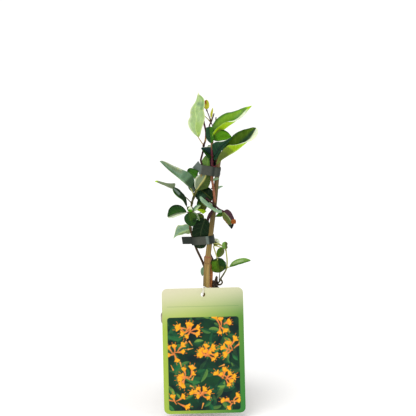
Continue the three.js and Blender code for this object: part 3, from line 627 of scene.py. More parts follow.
def leaf_tints(spec, foliage, surface, wide, long):
    """Colours of a blade's upper or under side: its two halves, and its marks over them."""
    left, right = (np.array(getattr(foliage, name)) for name in spec[surface])
    colour = left + (right - left) * smoothly(-HALVES_SOFTNESS, HALVES_SOFTNESS, wide)[..., None]
    marks = list(spec["marks"])
    if spec["tip_tint"]:
        marks.append((surface, spec["tip_from"], 2, -2, 2, spec["tip_tint"], 1))
    if spec["rim"]:
        for start in (1 - RIM_WIDTH, RIM_WIDTH - 3):
            marks.append((surface, -1, 2, start, start + 2, spec["rim"], 0.8))
    soft, softer = MARK_SOFTNESS
    for where, t0, t1, u0, u1, name, strength in marks:
        if where == surface:
            share = smoothly(t0 - soft, t0 + soft, long) * smoothly(t1 + soft, t1 - soft, long)
            share *= smoothly(u0 - softer, u0 + softer, wide)
            share *= smoothly(u1 + softer, u1 - softer, wide) * strength
            colour = colour + (np.array(getattr(foliage, name)) - colour) * share[..., None]
    return colour.reshape(-1, 3)


def add_leaf(skin, stalks, foliage, stems, number, given):
    """Adds a leaf's blade to one skin, and its stalk and bud to another."""
    spec = {**LEAF, **given}
    chord = np.linalg.norm(np.subtract(spec["tip"], spec["base"]))
    rows = int(np.clip(chord * foliage.rows, FEWEST_ROWS, MOST_ROWS))
    columns = COLUMNS if chord > SMALL_LEAF else SMALL_COLUMNS
    even = np.linspace(0.001, 0.999, rows)
    t = 0.5 * even + 0.25 * (1 - np.cos(math.pi * even))  # closer rows at base and tip
    rib, side, up, length = midrib(spec, t)
    t = t[:, None]
    spread = np.linspace(-1, 1, columns)[None, :]
    u = np.sign(spread) * np.abs(spread) ** 1.2  # closer columns at the midrib
    out, rise, thickness, ridge = leaf_section(spec, foliage, number, t, u)
    middle = rib[:, None] + side[:, None] * out[..., None] + up[:, None] * rise[..., None]
    normal = np.cross(np.gradient(middle, axis=1), np.gradient(middle, axis=0))
    normal /= np.maximum(lengths(normal), 1e-9)
    upper = middle + normal * (thickness / 2)[..., None]
    lower = middle - normal * (thickness / 2 + ridge)[..., None]
    wide, long = u + 0 * t, t + 0 * u
    grain = np.stack([out + 40 * number, long * length, wide * 0], axis=2).reshape(-1, 3)
    blades = [np.stack([wide, long, wide * 0 + way], axis=2).reshape(-1, 3) for way in (1, -1)]
    skin.add(
        np.concatenate([upper.reshape(-1, 3), lower.reshape(-1, 3)]),
        sheet_faces(rows, columns),
        np.concatenate([leaf_tints(spec, foliage, key, wide, long) for key in ("top", "under")]),
        np.concatenate([grain, grain + (0, 0, 3)]),
        np.concatenate(blades),
        surface=1,
    )

    tint = tuple(getattr(stems, spec["stalk_tint"]))
    end = rib[max(1, round(ROOT_SHARE * rows))] - up[0] * 0.1
    tube(
        stalks,
        [spec["root"], *spec["via"], spec["base"], tuple(end)],
        taper(spec["stalk"], STALK_END),
        lambda share, angle, spot: tint,
        sides=8,
        step=0.7,
        seed=number,
    )
    if length > SHORTEST_WITH_BUD:
        root = Vector(spec["root"])
        towards = (Vector(spec["base"]) - root).normalized() + Vector((0, 0, 0.9))
        lump(stalks, root, towards, stems.bud / MM, BUD_WIDTH, tint, number, rings=8)


# ---------------------------------------------------------------- materials


def feed(tree, made, inputs):
    """Gives each named socket of a node a value or another node's output."""
    for key, value in inputs.items():
        if isinstance(value, bpy.types.NodeSocket):
            tree.links.new(value, made.inputs[key])
        else:
            made.inputs[key].default_value = value


def node(tree, kind, inputs=None, **settings):
    made = tree.nodes.new(kind)
    for key, value in settings.items():
        setattr(made, key, value)
    feed(tree, made, inputs or {})
    return made


def fresh_material(name):
    """A material with a bare shader, its node tree and that shader."""
    material = bpy.data.materials.get(name) or bpy.data.materials.new(name)
    material.use_nodes = True
    material.node_tree.nodes.clear()
    tree = material.node_tree
    shader = node(tree, "ShaderNodeBsdfPrincipled")
    node(tree, "ShaderNodeOutputMaterial", {"Surface": shader.outputs["BSDF"]})
    return material, tree, shader


def calc(tree, operation, *values):
    return node(tree, "ShaderNodeMath", dict(enumerate(values)), operation=operation).outputs[0]


def scaled(tree, value, gain, base=0.0):
    """A value times a gain, and a base added to it."""
    return calc(tree, "MULTIPLY_ADD", value, gain, base)


def mixed(tree, share, first, second, how="MIX"):
    def full(value):
        return (*value, 1) if isinstance(value, tuple) and len(value) == 3 else value

    inputs = {0: share, 6: full(first), 7: full(second)}
    return node(
        tree, "ShaderNodeMix", inputs, data_type="RGBA", blend_type=how, clamp_factor=True
    ).outputs[2]


def times(tree, first, second):
    """One colour multiplied by another."""
    return mixed(tree, 1.0, first, second, "MULTIPLY")


def grey(tree, value):
    return node(tree, "ShaderNodeCombineColor", {0: value, 1: value, 2: value}).outputs[0]


def noisy(tree, where, scale, detail=4, rough=0.55, distortion=0.0):
    inputs = {
        "Vector": where,
        "Scale": scale,
        "Detail": detail,
        "Roughness": rough,
        "Distortion": distortion,
    }
    return node(tree, "ShaderNodeTexNoise", inputs).outputs["Fac"]


def ranged(tree, value, low, high, to_low=0.0, to_high=1.0):
    inputs = {0: value, 1: low, 2: high, 3: to_low, 4: to_high}
    return node(tree, "ShaderNodeMapRange", inputs, interpolation_type="SMOOTHSTEP").outputs[0]


def tint_of(tree):
    return node(tree, "ShaderNodeAttribute", attribute_name="tint").outputs["Color"]


def grain_of(tree, name="grain"):
    return node(tree, "ShaderNodeAttribute", attribute_name=name).outputs["Vector"]


def place(tree):
    return node(tree, "ShaderNodeTexCoord").outputs["Object"]


def stretched(tree, vector, x, y, z):
    inputs = {0: vector, 1: (x, y, z)}
    return node(tree, "ShaderNodeVectorMath", inputs, operation="MULTIPLY").outputs[0]


def fibres(tree, across, along, detail, rough=0.55, distortion=0.0):
    """Noise drawn out along a stem: how often it changes across and along it."""
    where = stretched(tree, grain_of(tree), across, across, along)
    return noisy(tree, where, 1.0, detail, rough, distortion)


def shaded(tree, pattern, gain, base):
    """The mesh's own tint, made darker and lighter by a pattern."""
    return times(tree, tint_of(tree), grey(tree, scaled(tree, pattern, gain, base)))


def spotted(tree, colour, spots, low, high, strength, paint_over):
    """A colour painted over where a noise rises from low to high."""
    share = scaled(tree, ranged(tree, spots, low, high), strength)
    return mixed(tree, share, colour, paint_over)


def finish(tree, shader, colour, roughness, relief=None, strength=0.0, depth=0.0, **levels):
    """Connects a shader. levels are plain numbers, each for the socket of that name."""
    feed(tree, shader, {"Base Color": colour, "Roughness": roughness})
    feed(tree, shader, {key.replace("_", " "): value for key, value in levels.items()})
    if relief is not None:
        inputs = {"Height": relief, "Strength": strength, "Distance": depth}
        feed(tree, shader, {"Normal": node(tree, "ShaderNodeBump", inputs).outputs[0]})


def leaf_material(foliage):
    """Waxy leaf: mottled colour, pale side veins and midrib, fine net, glossy upper side."""
    material, tree, shader = fresh_material("leaf_surface")
    grain = grain_of(tree)
    blade = node(tree, "ShaderNodeSeparateXYZ", {0: grain_of(tree, "blade")}).outputs
    across = calc(tree, "ABSOLUTE", blade[0])
    top = ranged(tree, blade[2], -0.2, 0.2)

    rows = scaled(tree, scaled(tree, across, -VEIN_RAKE, blade[1]), VEIN_PAIRS)
    wobble = scaled(tree, noisy(tree, grain, 0.25, 2), 0.25, rows)
    ray = calc(tree, "PINGPONG", wobble, 0.5)
    side_vein = calc(
        tree, "MULTIPLY", ranged(tree, ray, 0.09, 0.0), ranged(tree, across, 1.0, 0.75)
    )
    rib = ranged(tree, across, 0.1, 0.015)
    vein = calc(tree, "MAXIMUM", rib, scaled(tree, side_vein, 0.55))
    cells = {"Vector": grain, "Scale": 0.85}
    lattice = node(tree, "ShaderNodeTexVoronoi", cells, feature="DISTANCE_TO_EDGE")
    net = ranged(tree, lattice.outputs["Distance"], 0.12, 0.0)

    broad = noisy(tree, grain, 0.16, 3)
    fine = noisy(tree, grain, 1.6, 5, 0.65)
    colour = shaded(tree, fine, 0.16, scaled(tree, broad, 0.62, 0.62))
    patches = noisy(tree, grain, 0.33, 2)
    yellower = times(tree, colour, (1.5, 1.25, 0.6))
    colour = spotted(tree, colour, patches, 0.55, 0.75, 0.5, yellower)
    paler = mixed(tree, 0.12, times(tree, colour, (1.7, 1.55, 1.3)), (0.5, 0.55, 0.25))
    colour = mixed(tree, scaled(tree, vein, 0.5), colour, paler)
    colour = mixed(tree, scaled(tree, net, 0.12), colour, paler)

    upper_gloss = scaled(tree, fine, 0.22, foliage.gloss - 0.1)
    rough = node(tree, "ShaderNodeMix", {0: top, 2: 0.6, 3: upper_gloss}).outputs[0]
    relief = scaled(tree, side_vein, -0.6, scaled(tree, net, -0.25))
    finish(
        tree,
        shader,
        colour,
        rough,
        scaled(tree, fine, 0.5, relief),
        strength=0.5,
        depth=0.00025,
        Specular_IOR_Level=0.1,
        Subsurface_Weight=0.12,
        Subsurface_Radius=(0.8, 1.0, 0.25),
        Subsurface_Scale=0.0009,
    )
    return material


def stem_material():
    """Twining stem: its own colour with long streaks, pale pores and a dull shine."""
    material, tree, shader = fresh_material("stem_bark")
    streak = fibres(tree, 3.2, 0.35, 5, 0.6)
    pore = fibres(tree, 6, 2.2, 2)
    colour = shaded(tree, streak, 1.0, 0.5)
    colour = spotted(tree, colour, pore, 0.68, 0.76, 0.5, paint(186, 168, 128))
    rough = scaled(tree, streak, 0.3, 0.38)
    relief = scaled(tree, pore, 0.4, streak)
    finish(tree, shader, colour, rough, relief, 0.6, 0.0002, Specular_IOR_Level=0.2)
    return material


def bark_material():
    """Old bark: dark furrows along the stem, bleached peeling edges, rough."""
    material, tree, shader = fresh_material("old_bark")
    furrow = fibres(tree, 4.5, 0.22, 8, 0.7, 0.6)
    patch = noisy(tree, place(tree), 260, 4)
    colour = mixed(tree, ranged(tree, furrow, 0.4, 0.62), paint(34, 26, 20), tint_of(tree))
    colour = spotted(tree, colour, patch, 0.55, 0.7, 0.5, paint(150, 136, 116))
    finish(tree, shader, colour, 0.86, scaled(tree, patch, 0.4, furrow), 0.9, 0.0006)
    return material


def cane_material(settings):
    """Dry bamboo: long fibres, greenish streaks, dark specks and stained joints."""
    material, tree, shader = fresh_material("dry_bamboo")
    fibre = fibres(tree, 9, 0.12, 6, 0.6)
    band = fibres(tree, 1.1, 0.018, 3)
    speck = fibres(tree, 3.2, 0.9, 3, 0.7)
    colour = shaded(tree, fibre, 0.6, 0.7)
    darker = times(tree, colour, (0.6, 0.58, 0.52))
    colour = spotted(tree, colour, band, 0.5, 0.7, 0.75, darker)
    colour = spotted(tree, colour, speck, 0.66, 0.75, 0.75, paint(88, 60, 40))
    rough = scaled(tree, fibre, 0.3, settings.roughness - 0.15)
    finish(tree, shader, colour, rough, fibre, 0.35, 0.00025, Specular_IOR_Level=0.2)
    return material


def pot_material(settings):
    """Moulded taupe plastic: fine grain, faint flow marks, soil dust low down and in the lip."""
    material, tree, shader = fresh_material("taupe_plastic")
    here = place(tree)
    flow = noisy(tree, stretched(tree, here, 1, 1, 0.2), 55, 3)
    fine = noisy(tree, here, 1600, 2)
    smear = noisy(tree, here, 38, 6, 0.7)
    colour = shaded(tree, flow, 0.22, 0.88)
    colour = spotted(tree, colour, smear, 0.56, 0.72, 0.35, tuple(settings.dust))
    finish(tree, shader, colour, scaled(tree, smear, 0.3, 0.36), fine, 0.25, 0.0001)
    return material


def soil_material():
    """Damp peat: every grain its own brown, with wet glints."""
    material, tree, shader = fresh_material("potting_soil_surface")
    here = place(tree)
    clod = noisy(tree, here, 330, 8, 0.75)
    fleck = noisy(tree, here, 1500, 3)
    colour = shaded(tree, clod, 1.5, 0.2)
    colour = spotted(tree, colour, fleck, 0.68, 0.74, 1.0, paint(120, 92, 64))
    rough = scaled(tree, fleck, -0.5, 1.05)
    finish(tree, shader, colour, rough, scaled(tree, fleck, 0.5, clod), 0.9, 0.0008)
    return material


def tape_material():
    """Tying film: smoky colour, long stretch lines and a sharp shine."""
    material, tree, shader = fresh_material("tying_film")
    lines = noisy(tree, stretched(tree, grain_of(tree), 0.12, 2.6, 1), 1.0, 4)
    finish(
        tree,
        shader,
        shaded(tree, lines, 0.5, 0.75),
        scaled(tree, lines, 0.3, 0.16),
        lines,
        strength=0.3,
        depth=0.0002,
        Specular_IOR_Level=0.3,
        Coat_Weight=0.1,
        Coat_Roughness=0.15,
    )
    return material


def print_material():
    """Printed card under a thin gloss film, with the film's faint ripple."""
    material, tree, shader = fresh_material("printed_card")
    here = place(tree)
    ripple = noisy(tree, here, 22, 2)
    tooth = noisy(tree, here, 2600, 2)
    finish(
        tree,
        shader,
        shaded(tree, tooth, 0.08, 0.96),
        scaled(tree, ripple, 0.2, 0.26),
        scaled(tree, tooth, 0.03, ripple),
        strength=0.2,
        depth=0.0004,
        Specular_IOR_Level=0.2,
        Coat_Weight=0.05,
        Coat_Roughness=0.22,
    )
    return material


def card_material():
    """Uncoated back and cut edge of the card: soft fibres and light handling marks."""
    material, tree, shader = fresh_material("plain_card")
    here = place(tree)
    pulp = noisy(tree, here, 900, 5)
    scuff = noisy(tree, here, 60, 5, 0.7)
    colour = spotted(tree, tint_of(tree), scuff, 0.6, 0.75, 0.25, paint(176, 170, 150))
    finish(tree, shader, colour, 0.7, pulp, 0.3, 0.0001)
    return material


def cord_material():
    """White twisted cord: fine fibres along each strand, a little soiled."""
    material, tree, shader = fresh_material("white_cord")
    soiling = noisy(tree, place(tree), 160, 3)
    colour = spotted(tree, tint_of(tree), soiling, 0.5, 0.75, 0.35, paint(186, 172, 140))
    finish(tree, shader, colour, 0.55, fibres(tree, 7, 1.2, 4), 0.5, 0.0001)
    return material


def floor_material(brightness):
    """Pale matt floor with a faint cloudiness."""
    material, tree, shader = fresh_material("pale_floor")
    cloud = noisy(tree, place(tree), 3, 2)
    light = ranged(tree, cloud, 0.2, 0.8, brightness - 0.006, brightness + 0.006)
    finish(tree, shader, grey(tree, light), 0.9)
    return material


# ---------------------------------------------------------------- the pot and its soil

POT_HEIGHT = 99
LIP_RADIUS = 45.3
LIP_FOOT = 92
NECK_RADIUS = 42.6
BASE_RADIUS = 32
WALL = 1.3
FLOOR = 1.6
FLOOR_RINGS = (2, 6, 10, 14, *np.arange(16.5, 25.6, 0.82), 28)  # closer at the drain holes
FOOT_CORNER = 3  # width of the floor's outermost strip
MOULD_STEPS = (9, 9.5, 30, 55, 80)  # heights of faint steps where the mould's rings meet
DRAIN_RADIUS = 3
DRAIN_RING = 21
DRAINS = 8
DUST_TOP = 14  # dried soil on the foot reaches up to here


def outer_radius(z):
    return BASE_RADIUS + (NECK_RADIUS - BASE_RADIUS) * z / LIP_FOOT


def inner_radius(z):
    return outer_radius(z) - WALL


def rounded(corner, before, after, size):
    """Points that round one corner of a profile off."""
    corner, before, after = (np.array(p, float) for p in (corner, before, after))
    start = corner + (before - corner) / np.linalg.norm(before - corner) * size
    end = corner + (after - corner) / np.linalg.norm(after - corner) * size
    return [
        tuple(start * (1 - s) ** 2 + corner * 2 * s * (1 - s) + end * s**2)
        for s in np.linspace(0, 1, 5)
    ]


def pot_profile():
    """Radius and height of the pot's outline, from under its floor over the lip to inside."""
    corners = (
        (BASE_RADIUS, 0, 1.4),
        (NECK_RADIUS, LIP_FOOT - 0.4, 0.9),
        (LIP_RADIUS - 0.2, LIP_FOOT, 0.8),
        (LIP_RADIUS, POT_HEIGHT, 0.65),
        (LIP_RADIUS - WALL, POT_HEIGHT, 0.55),
        (inner_radius(LIP_FOOT) + 0.9, LIP_FOOT + WALL, 0.7),
        (inner_radius(LIP_FOOT), LIP_FOOT - WALL, 0.7),
        (inner_radius(FLOOR), FLOOR, 1.2),
    )
    first = (BASE_RADIUS - FOOT_CORNER, 0)
    last = (inner_radius(0) - FOOT_CORNER, FLOOR)
    posts = [first, *[(r, z) for r, z, size in corners], last]
    profile = [(r, 0) for r in FLOOR_RINGS]
    for k, (r, z, size) in enumerate(corners):
        profile += rounded((r, z), posts[k], posts[k + 2], size)
        if k == 0:
            profile += [(outer_radius(height), height) for height in MOULD_STEPS]
    return np.array(profile + [(r, FLOOR) for r in reversed(FLOOR_RINGS)])


def cut_drains(points, faces, rows, columns):
    """Cuts the round drain holes through the pot's floor and gives the faces that are left."""
    plate = len(FLOOR_RINGS) * columns
    dropped = set()
    for angle in round_angles(DRAINS):
        middle = np.array((math.cos(angle), math.sin(angle))) * DRAIN_RING
        cut = set()
        for index, face in enumerate(faces):
            flat = max(face) < plate or min(face) >= len(points) - plate
            if flat and len(face) == 4:
                if np.linalg.norm(points[face, :2].mean(axis=0) - middle) < DRAIN_RADIUS:
                    cut.add(index)
        dropped |= cut
        sides = {}
        for index in cut:
            face = faces[index]
            sides.update(dict.fromkeys(zip(face, face[1:] + face[:1])))
        edge = [(a, b) for a, b in sides if (b, a) not in sides]
        for a, b in edge:
            out = points[a, :2] - middle
            points[a, :2] = middle + out * (DRAIN_RADIUS / np.linalg.norm(out))
            if a < plate:
                over_a, over_b = ((rows - 1 - p // columns) * columns + p % columns for p in (a, b))
                faces.append([a, b, over_b, over_a])
    return [face for index, face in enumerate(faces) if index not in dropped]


def build_pot(settings):
    """The pot: rounded foot and lip, faint moulding rings, and drain holes in its floor."""
    profile = pot_profile()
    rows, columns = len(profile), settings.segments
    angles = np.array(round_angles(columns))
    points = np.zeros((rows, columns, 3))
    points[..., 0] = profile[:, :1] * np.cos(angles)
    points[..., 1] = profile[:, :1] * np.sin(angles)
    points[..., 2] = profile[:, 1:]
    points = points.reshape(-1, 3)
    faces = cut_drains(points, turned_faces(rows, columns), rows, columns)

    plastic, dust = (np.array(c) for c in (settings.plastic, settings.dust))
    height = points[:, 2:3]
    inside = np.linalg.norm(points[:, :2], axis=1, keepdims=True) < inner_radius(height) + 0.2
    dusty = 0.3 * smoothly(DUST_TOP, 0, height)
    dusty = dusty + 0.25 * smoothly(POT_HEIGHT - 9, POT_HEIGHT - 14, height) * inside
    skin = Skin()
    skin.add(points, faces, plastic + (dust - plastic) * dusty, points)
    piece("nursery_pot", skin, [pot_material(settings)], "pot", crease=40)


SOIL_TOP, SOIL_MOUND = 89, 1.6  # height at the wall, and the rise towards the middle
SOIL_FOOT = FLOOR + 0.3
SOIL_GAP = 0.5  # between the soil and the pot's wall
SOIL_EDGE = inner_radius(SOIL_TOP - 2) - SOIL_GAP
SOIL_COLUMNS, SOIL_RINGS = 150, 76
STEMS_IN_SOIL = ((4.2, -22.6), (13.6, -5.5), (9.6, -10.6))
CLODS, GRIT, DIP = 1.1, 0.35, 0.6  # heights of the soil's unevenness, and of a stem's dip
PERLITE_SHARE = 0.045  # of the loose crumbs
LONG_SHARE = 0.4  # of the loose crumbs


def soil_height(x, y):
    """Height of the soil's top: a mound with clods, grit and a dip round each stem."""
    bumps = noise.fractal(Vector((x, y, 0)) * 0.11, 0.7, 2.1, 6)
    grit = noise.noise(Vector((x, y, 5)) * 0.9)
    dip = sum(math.exp(-(((x - a) ** 2 + (y - b) ** 2) / 30)) for a, b in STEMS_IN_SOIL)
    rise = SOIL_MOUND * (1 - (math.hypot(x, y) / SOIL_EDGE) ** 2)
    return SOIL_TOP + rise + CLODS * bumps + GRIT * grit - DIP * dip


def scatter_crumbs(skin, settings):
    """Loose crumbs of bark and peat on the soil, and a few grains of perlite."""
    rng = random.Random(41)
    dark, light = (np.array(c) for c in (settings.soil, settings.crumb))
    for number in range(settings.crumbs):
        r, angle = SOIL_EDGE * 0.97 * rng.random() ** 0.5, rng.uniform(0, 2 * math.pi)
        x, y = r * math.cos(angle), r * math.sin(angle)
        chance = rng.random()
        tint = tuple(dark + (light - dark) * rng.uniform(0.1, 1))
        size = rng.uniform(0.5, 1.5)
        if chance > 1 - PERLITE_SHARE:
            tint, size = tuple(settings.perlite), rng.uniform(0.6, 1.1)
        way = (rng.uniform(-1, 1), rng.uniform(-1, 1), rng.uniform(-0.2, 0.6))
        length = size * (rng.uniform(1, 3.2) if chance < LONG_SHARE else rng.uniform(0.8, 1.5))
        foot = (x, y, soil_height(x, y) + 0.1)
        lump(skin, foot, way, length, size, tint, number, rings=4, sides=6, rough=0.5)


def build_soil(settings):
    """The soil: a lumpy mound of peat with bark crumbs and a little perlite."""
    dark, light = (np.array(c) for c in (settings.soil, settings.crumb))
    rings = [(inner_radius(SOIL_FOOT) - SOIL_GAP, SOIL_FOOT), (SOIL_EDGE, SOIL_TOP - 4)]
    rings += [(radius, None) for radius in np.linspace(SOIL_EDGE, 0.6, SOIL_RINGS)]
    points, tints = [], []
    for radius, z in rings:
        for angle in round_angles(SOIL_COLUMNS):
            x, y = radius * math.cos(angle), radius * math.sin(angle)
            points.append((x, y, soil_height(x, y) if z is None else z))
            share = 0.5 + 0.5 * noise.noise(Vector((x, y, 9)) * 0.5)
            tints.append(dark + (light - dark) * (share * 0.5))
    skin = Skin()
    skin.add(points, turned_faces(len(rings), SOIL_COLUMNS), tints, points)
    scatter_crumbs(skin, settings)
    piece("potting_soil", skin, [soil_material()], "soil", crease=70)


# ---------------------------------------------------------------- cane and stump

CANE_PATH = (
    (1, -23.2, 25), (4.2, -22.6, 89), (6, -22, 137), (7, -21.6, 162), (8.8, -21, 179.4),
    (15.4, -19.9, 235), (20.3, -18.5, 290),
)  # fmt: skip
CANE_KNOTS = (62, 171.5, 283)
CANE_LOW, CANE_HIGH, CANE_TOP = 3.6, 3.05, 2.35  # radius below and above the middle joint, end
KNOT_FOOT, KNOT_HEAD = 6, 1.3  # how far a joint's swelling reaches below and above its ring
KNOT_SWELLING, KNOT_GROOVE = 0.65, 0.25
SCAR_DROP = 6.3  # from the joint's ring down to its root scars
SCARS, SCAR_LENGTH, SCAR_WIDTH = 9, 0.8, 1.2
SHADE_FOOT, SHADE_TOP = 172, 240  # heights between which the leaves' shade on the cane grows
CANE_END_SIDES = 24
CANE_BORE, BORE_DEPTH = 1.35, 2.0


def cane_radius(share, angle, spot):
    z, knot, top = spot[2], CANE_KNOTS[1], CANE_PATH[-1][2]
    narrowing = (CANE_HIGH - CANE_TOP) * (z - knot) / (top - knot)
    radius = CANE_LOW if z < knot else CANE_HIGH - narrowing
    for height in CANE_KNOTS:
        off = z - height
        radius += KNOT_SWELLING * bell(off, KNOT_FOOT if off < 0 else KNOT_HEAD)
        radius -= KNOT_GROOVE * bell(off - 0.9, 0.45)
    return radius + 0.05 * math.cos(angle * 2 + z * 0.01)


def add_root_scars(skin, spots, axes, tint):
    """A ring of small root scars at the foot of the cane's middle joint."""
    rng = random.Random(7)
    height = CANE_KNOTS[1] - SCAR_DROP
    near = min(range(len(spots)), key=lambda i: abs(spots[i].z - height))
    radius = cane_radius(0, 0, spots[near]) - 0.25
    for number, step in enumerate(round_angles(SCARS)):
        out = outward(axes[near], step + rng.uniform(-0.1, 0.1))
        foot = spots[near] + out * radius + axes[near][0] * rng.uniform(-0.5, 0.5)
        lump(skin, foot, out, SCAR_LENGTH, SCAR_WIDTH, tint, number, rings=5, sides=7)


def add_cut_end(skin, spot, axes, rim_tint, hollow_shade_tint):
    """The cane's sawn top: a rough rim round a hollow with painted shade in it."""
    rings = (
        (CANE_TOP - 0.06, -0.3),
        (CANE_TOP - 0.15, 0.5),
        (CANE_BORE, 0.5),
        (CANE_BORE - 0.2, -BORE_DEPTH),
    )
    points, tints = [], []
    for radius, lift in rings:
        for angle in round_angles(CANE_END_SIDES):
            out = outward(axes, angle)
            uneven = 0.12 * noise.noise(out * 3) if lift > 0 else 0
            points.append(spot + out * radius + axes[0] * (lift + uneven))
            # the hollow's inner wall and floor get the dark tint: painted shade in the bore
            tints.append(rim_tint if lift > -1 else hollow_shade_tint)
    faces = grid_faces(len(rings), CANE_END_SIDES, wrap=True)
    faces.append([len(points) - CANE_END_SIDES + side for side in range(CANE_END_SIDES)])
    skin.add(points, faces, tints, points)


def build_cane(settings):
    """The bamboo cane: swollen joints with root scars, stains, and a hollow cut top."""
    tan, red, green = (np.array(c) for c in (settings.tan, settings.red, settings.green))

    def tint(share, angle, spot):
        streaks = skin_noise(angle, 1.8, spot[2] * 0.012)
        colour = tan + (green - tan) * float(smoothly(-0.25, 0.35, streaks)) * 0.85
        for height in CANE_KNOTS:
            off = spot[2] - height
            patchy = max(0, 0.75 + 0.6 * skin_noise(angle, 1.6, off))
            stain = bell(off - 0.4, 0.6) + 0.5 * bell(off + 3, 5)
            colour = colour + (red - colour) * min(1, stain * patchy)
        return tuple(colour * (1 - 0.6 * float(smoothly(SHADE_FOOT, SHADE_TOP, spot[2]))))

    skin = Skin()
    spots, axes = tube(skin, CANE_PATH, cane_radius, tint, sides=settings.sides, step=0.42)
    add_root_scars(skin, spots, axes, tuple(red * 0.25))
    # red * 0.3 is the painted shade inside the hollow
    add_cut_end(skin, spots[-1], axes[-1], tuple(settings.pith), tuple(red * 0.3))
    piece("bamboo_cane_dressed", skin, [cane_material(settings)], "bamboo_cane")


STUMP_PATH = (
    (13.4, -4, 58), (13.6, -5.5, 89), (14.6, -8.5, 116), (15.6, -10.6, 130), (16.6, -12, 139),
    (17.6, -12.9, 146.4),
)  # fmt: skip
FLAKES = 26
FLAKE_COLUMNS = (-1, -0.33, 0.33, 1)
FLAKE_THICKNESS = 0.22
SPLINTERS = ((1.1, 1.6, 1.6), (-0.9, 2.6, 1.3), (0.2, 1.1, 2.2))  # place across, length, width
SPLINTER_ROOT = 0.6  # how deep a splinter sits in the cut end
BARK_LUMPS = 22  # up the stump's front
LUMPS_FOOT, LUMPS_STEP = 132, 0.4  # height of the lowest one, and from one to the next
LUMPS_BEHIND = 13.6  # every third one lies here, between the stump and the leading shoot


def stump_radius(share, angle, spot):
    around = Vector((math.cos(angle) * 1.6, math.sin(angle) * 1.6, spot[2] * 0.1))
    wear = noise.fractal(around, 0.8, 2, 4)
    plain = 4.4 - 1.9 * share + 0.35 * math.sin(14 * share)
    return plain * (0.95 + 0.07 * wear) * (1 - 0.5 * float(smoothly(0.88, 1, share)))


def add_flake(skin, spots, axes, rng, bark, peeling):
    """A strip of bark that comes away from the stump towards its upper end."""
    first = rng.randrange(len(spots) // 3, len(spots) - 14)
    rows = rng.randrange(7, 13)
    angle, spread = rng.uniform(0, 2 * math.pi), rng.uniform(0.14, 0.34)
    lift = rng.uniform(0.25, 0.75)
    points = []
    for thickness in (FLAKE_THICKNESS, 0.0):
        for row in range(rows):
            part, spot = row / (rows - 1), spots[first + row]
            wide = spread * (1 - 0.8 * part**3) * (0.4 + 0.6 * min(1, 4 * part))
            for column in FLAKE_COLUMNS:
                at = angle + column * wide + 0.2 * part
                radius = stump_radius((first + row) / len(spots), at, spot)
                away = radius + 0.1 + lift * part**2 + thickness
                points.append(spot + outward(axes[first + row], at) * away)
    shade = tuple(bark + (peeling - bark) * rng.uniform(0.1, 1))
    faces = sheet_faces(rows, len(FLAKE_COLUMNS))
    skin.add(points, faces, [shade] * len(points), points)


def build_stump(stems):
    """The cut-back woody stump: furrowed bark, lifting flakes, a split cut end."""
    bark, peeling = (np.array(c) for c in (stems.bark, stems.peeling))

    def tint(share, angle, spot):
        flake = skin_noise(angle, 2, spot[2] * 0.16)
        return tuple(bark + (peeling - bark) * float(smoothly(0.05, 0.5, flake)) * 0.7)

    skin = Skin()
    spots, axes = tube(skin, STUMP_PATH, stump_radius, tint, sides=40, step=0.5)
    rng = random.Random(19)
    for _ in range(FLAKES):
        add_flake(skin, spots, axes, rng, bark, peeling)
    heading, across = axes[-1][:2]
    for number, (aside, length, width) in enumerate(SPLINTERS):
        foot = spots[-1] + across * aside - heading * SPLINTER_ROOT
        lump(skin, foot, heading, length, width, tuple(peeling), number, rough=0.5)
    for number in range(BARK_LUMPS):
        x = rng.uniform(15, 20.4 - 0.1 * number) if number % 3 else LUMPS_BEHIND
        foot = (x, rng.uniform(-15.8, -14), LUMPS_FOOT + LUMPS_STEP * number)
        length, width = rng.uniform(2.4, 4.2), rng.uniform(2, 3)
        shade = tuple(bark * rng.uniform(0.25, 1))
        lump(skin, foot, (0.2, 0, 1), length, width, shade, number, rough=0.6)
    piece("woody_stump_dressed", skin, [bark_material()], "woody_stump")


# ---------------------------------------------------------------- the shoots

LEADER = (
    (9.2, -9.6, 58), (9.6, -10.6, 89), (10.6, -12.4, 116), (11.1, -13.8, 131), (11.4, -14.4, 140),
    (11.6, -14.9, 153), (11.8, -14.9, 162), (11.9, -14.8, 167.5), (9.9, -14.9, 173.5),
    (8.7, -15.3, 179.5), (8.2, -15.8, 186), (7.3, -16.6, 193), (6.7, -17.8, 203),
    (7.4, -19.7, 212), (9.9, -22.9, 219.5), (13.9, -24.6, 226.4), (15.6, -25.1, 232.6),
    (14.9, -24.7, 241.3), (13.7, -23.3, 251), (12.1, -20.6, 261.5), (12.4, -19.4, 272),
    (12.4, -19.1, 285.5), (12.2, -18.9, 297), (12.7, -18.6, 303),
)  # fmt: skip
LEFT = (
    (11.8, -14.9, 148.6), (8.3, -14.6, 151.8), (4.1, -14.8, 159.5), (-0.5, -15.8, 170),
    (-5.1, -17.2, 180.6), (-7.9, -18.3, 190), (-11.2, -19.4, 202), (-12.7, -20.2, 213),
    (-12.2, -21, 221.9), (-10.2, -22, 229.4), (-9.3, -22.6, 234.4), (-7.2, -23.5, 240.7),
    (-4.8, -23.6, 247.2), (-1.9, -21.6, 254), (0.4, -19.7, 262), (0.8, -19.2, 268.5),
    (1.3, -19.2, 275), (0.1, -19.1, 280), (0.8, -19, 283), (2.7, -19, 290.7),
    (3.5, -18.8, 297.3), (4.8, -18.6, 300.6), (5.7, -18, 307), (5.6, -17.5, 311.9),
    (3.6, -17.1, 321.2), (2.8, -17, 327),
)  # fmt: skip
LOW = (
    (17.4, -12.6, 138), (19.6, -12.8, 137.4), (22.3, -13.2, 137.8), (23.9, -13.7, 140.4),
    (22.9, -14, 143), (22.2, -14.3, 144.6), (24.8, -14.6, 149.2), (28, -14.9, 155.2),
    (29.2, -15.2, 162.5), (28.6, -15.8, 172.4), (27.5, -16.4, 178.8), (25.4, -16.8, 181.8),
    (20.7, -17.2, 184.6), (16.9, -16.9, 185.6), (13.8, -16.4, 185.2),
)  # fmt: skip
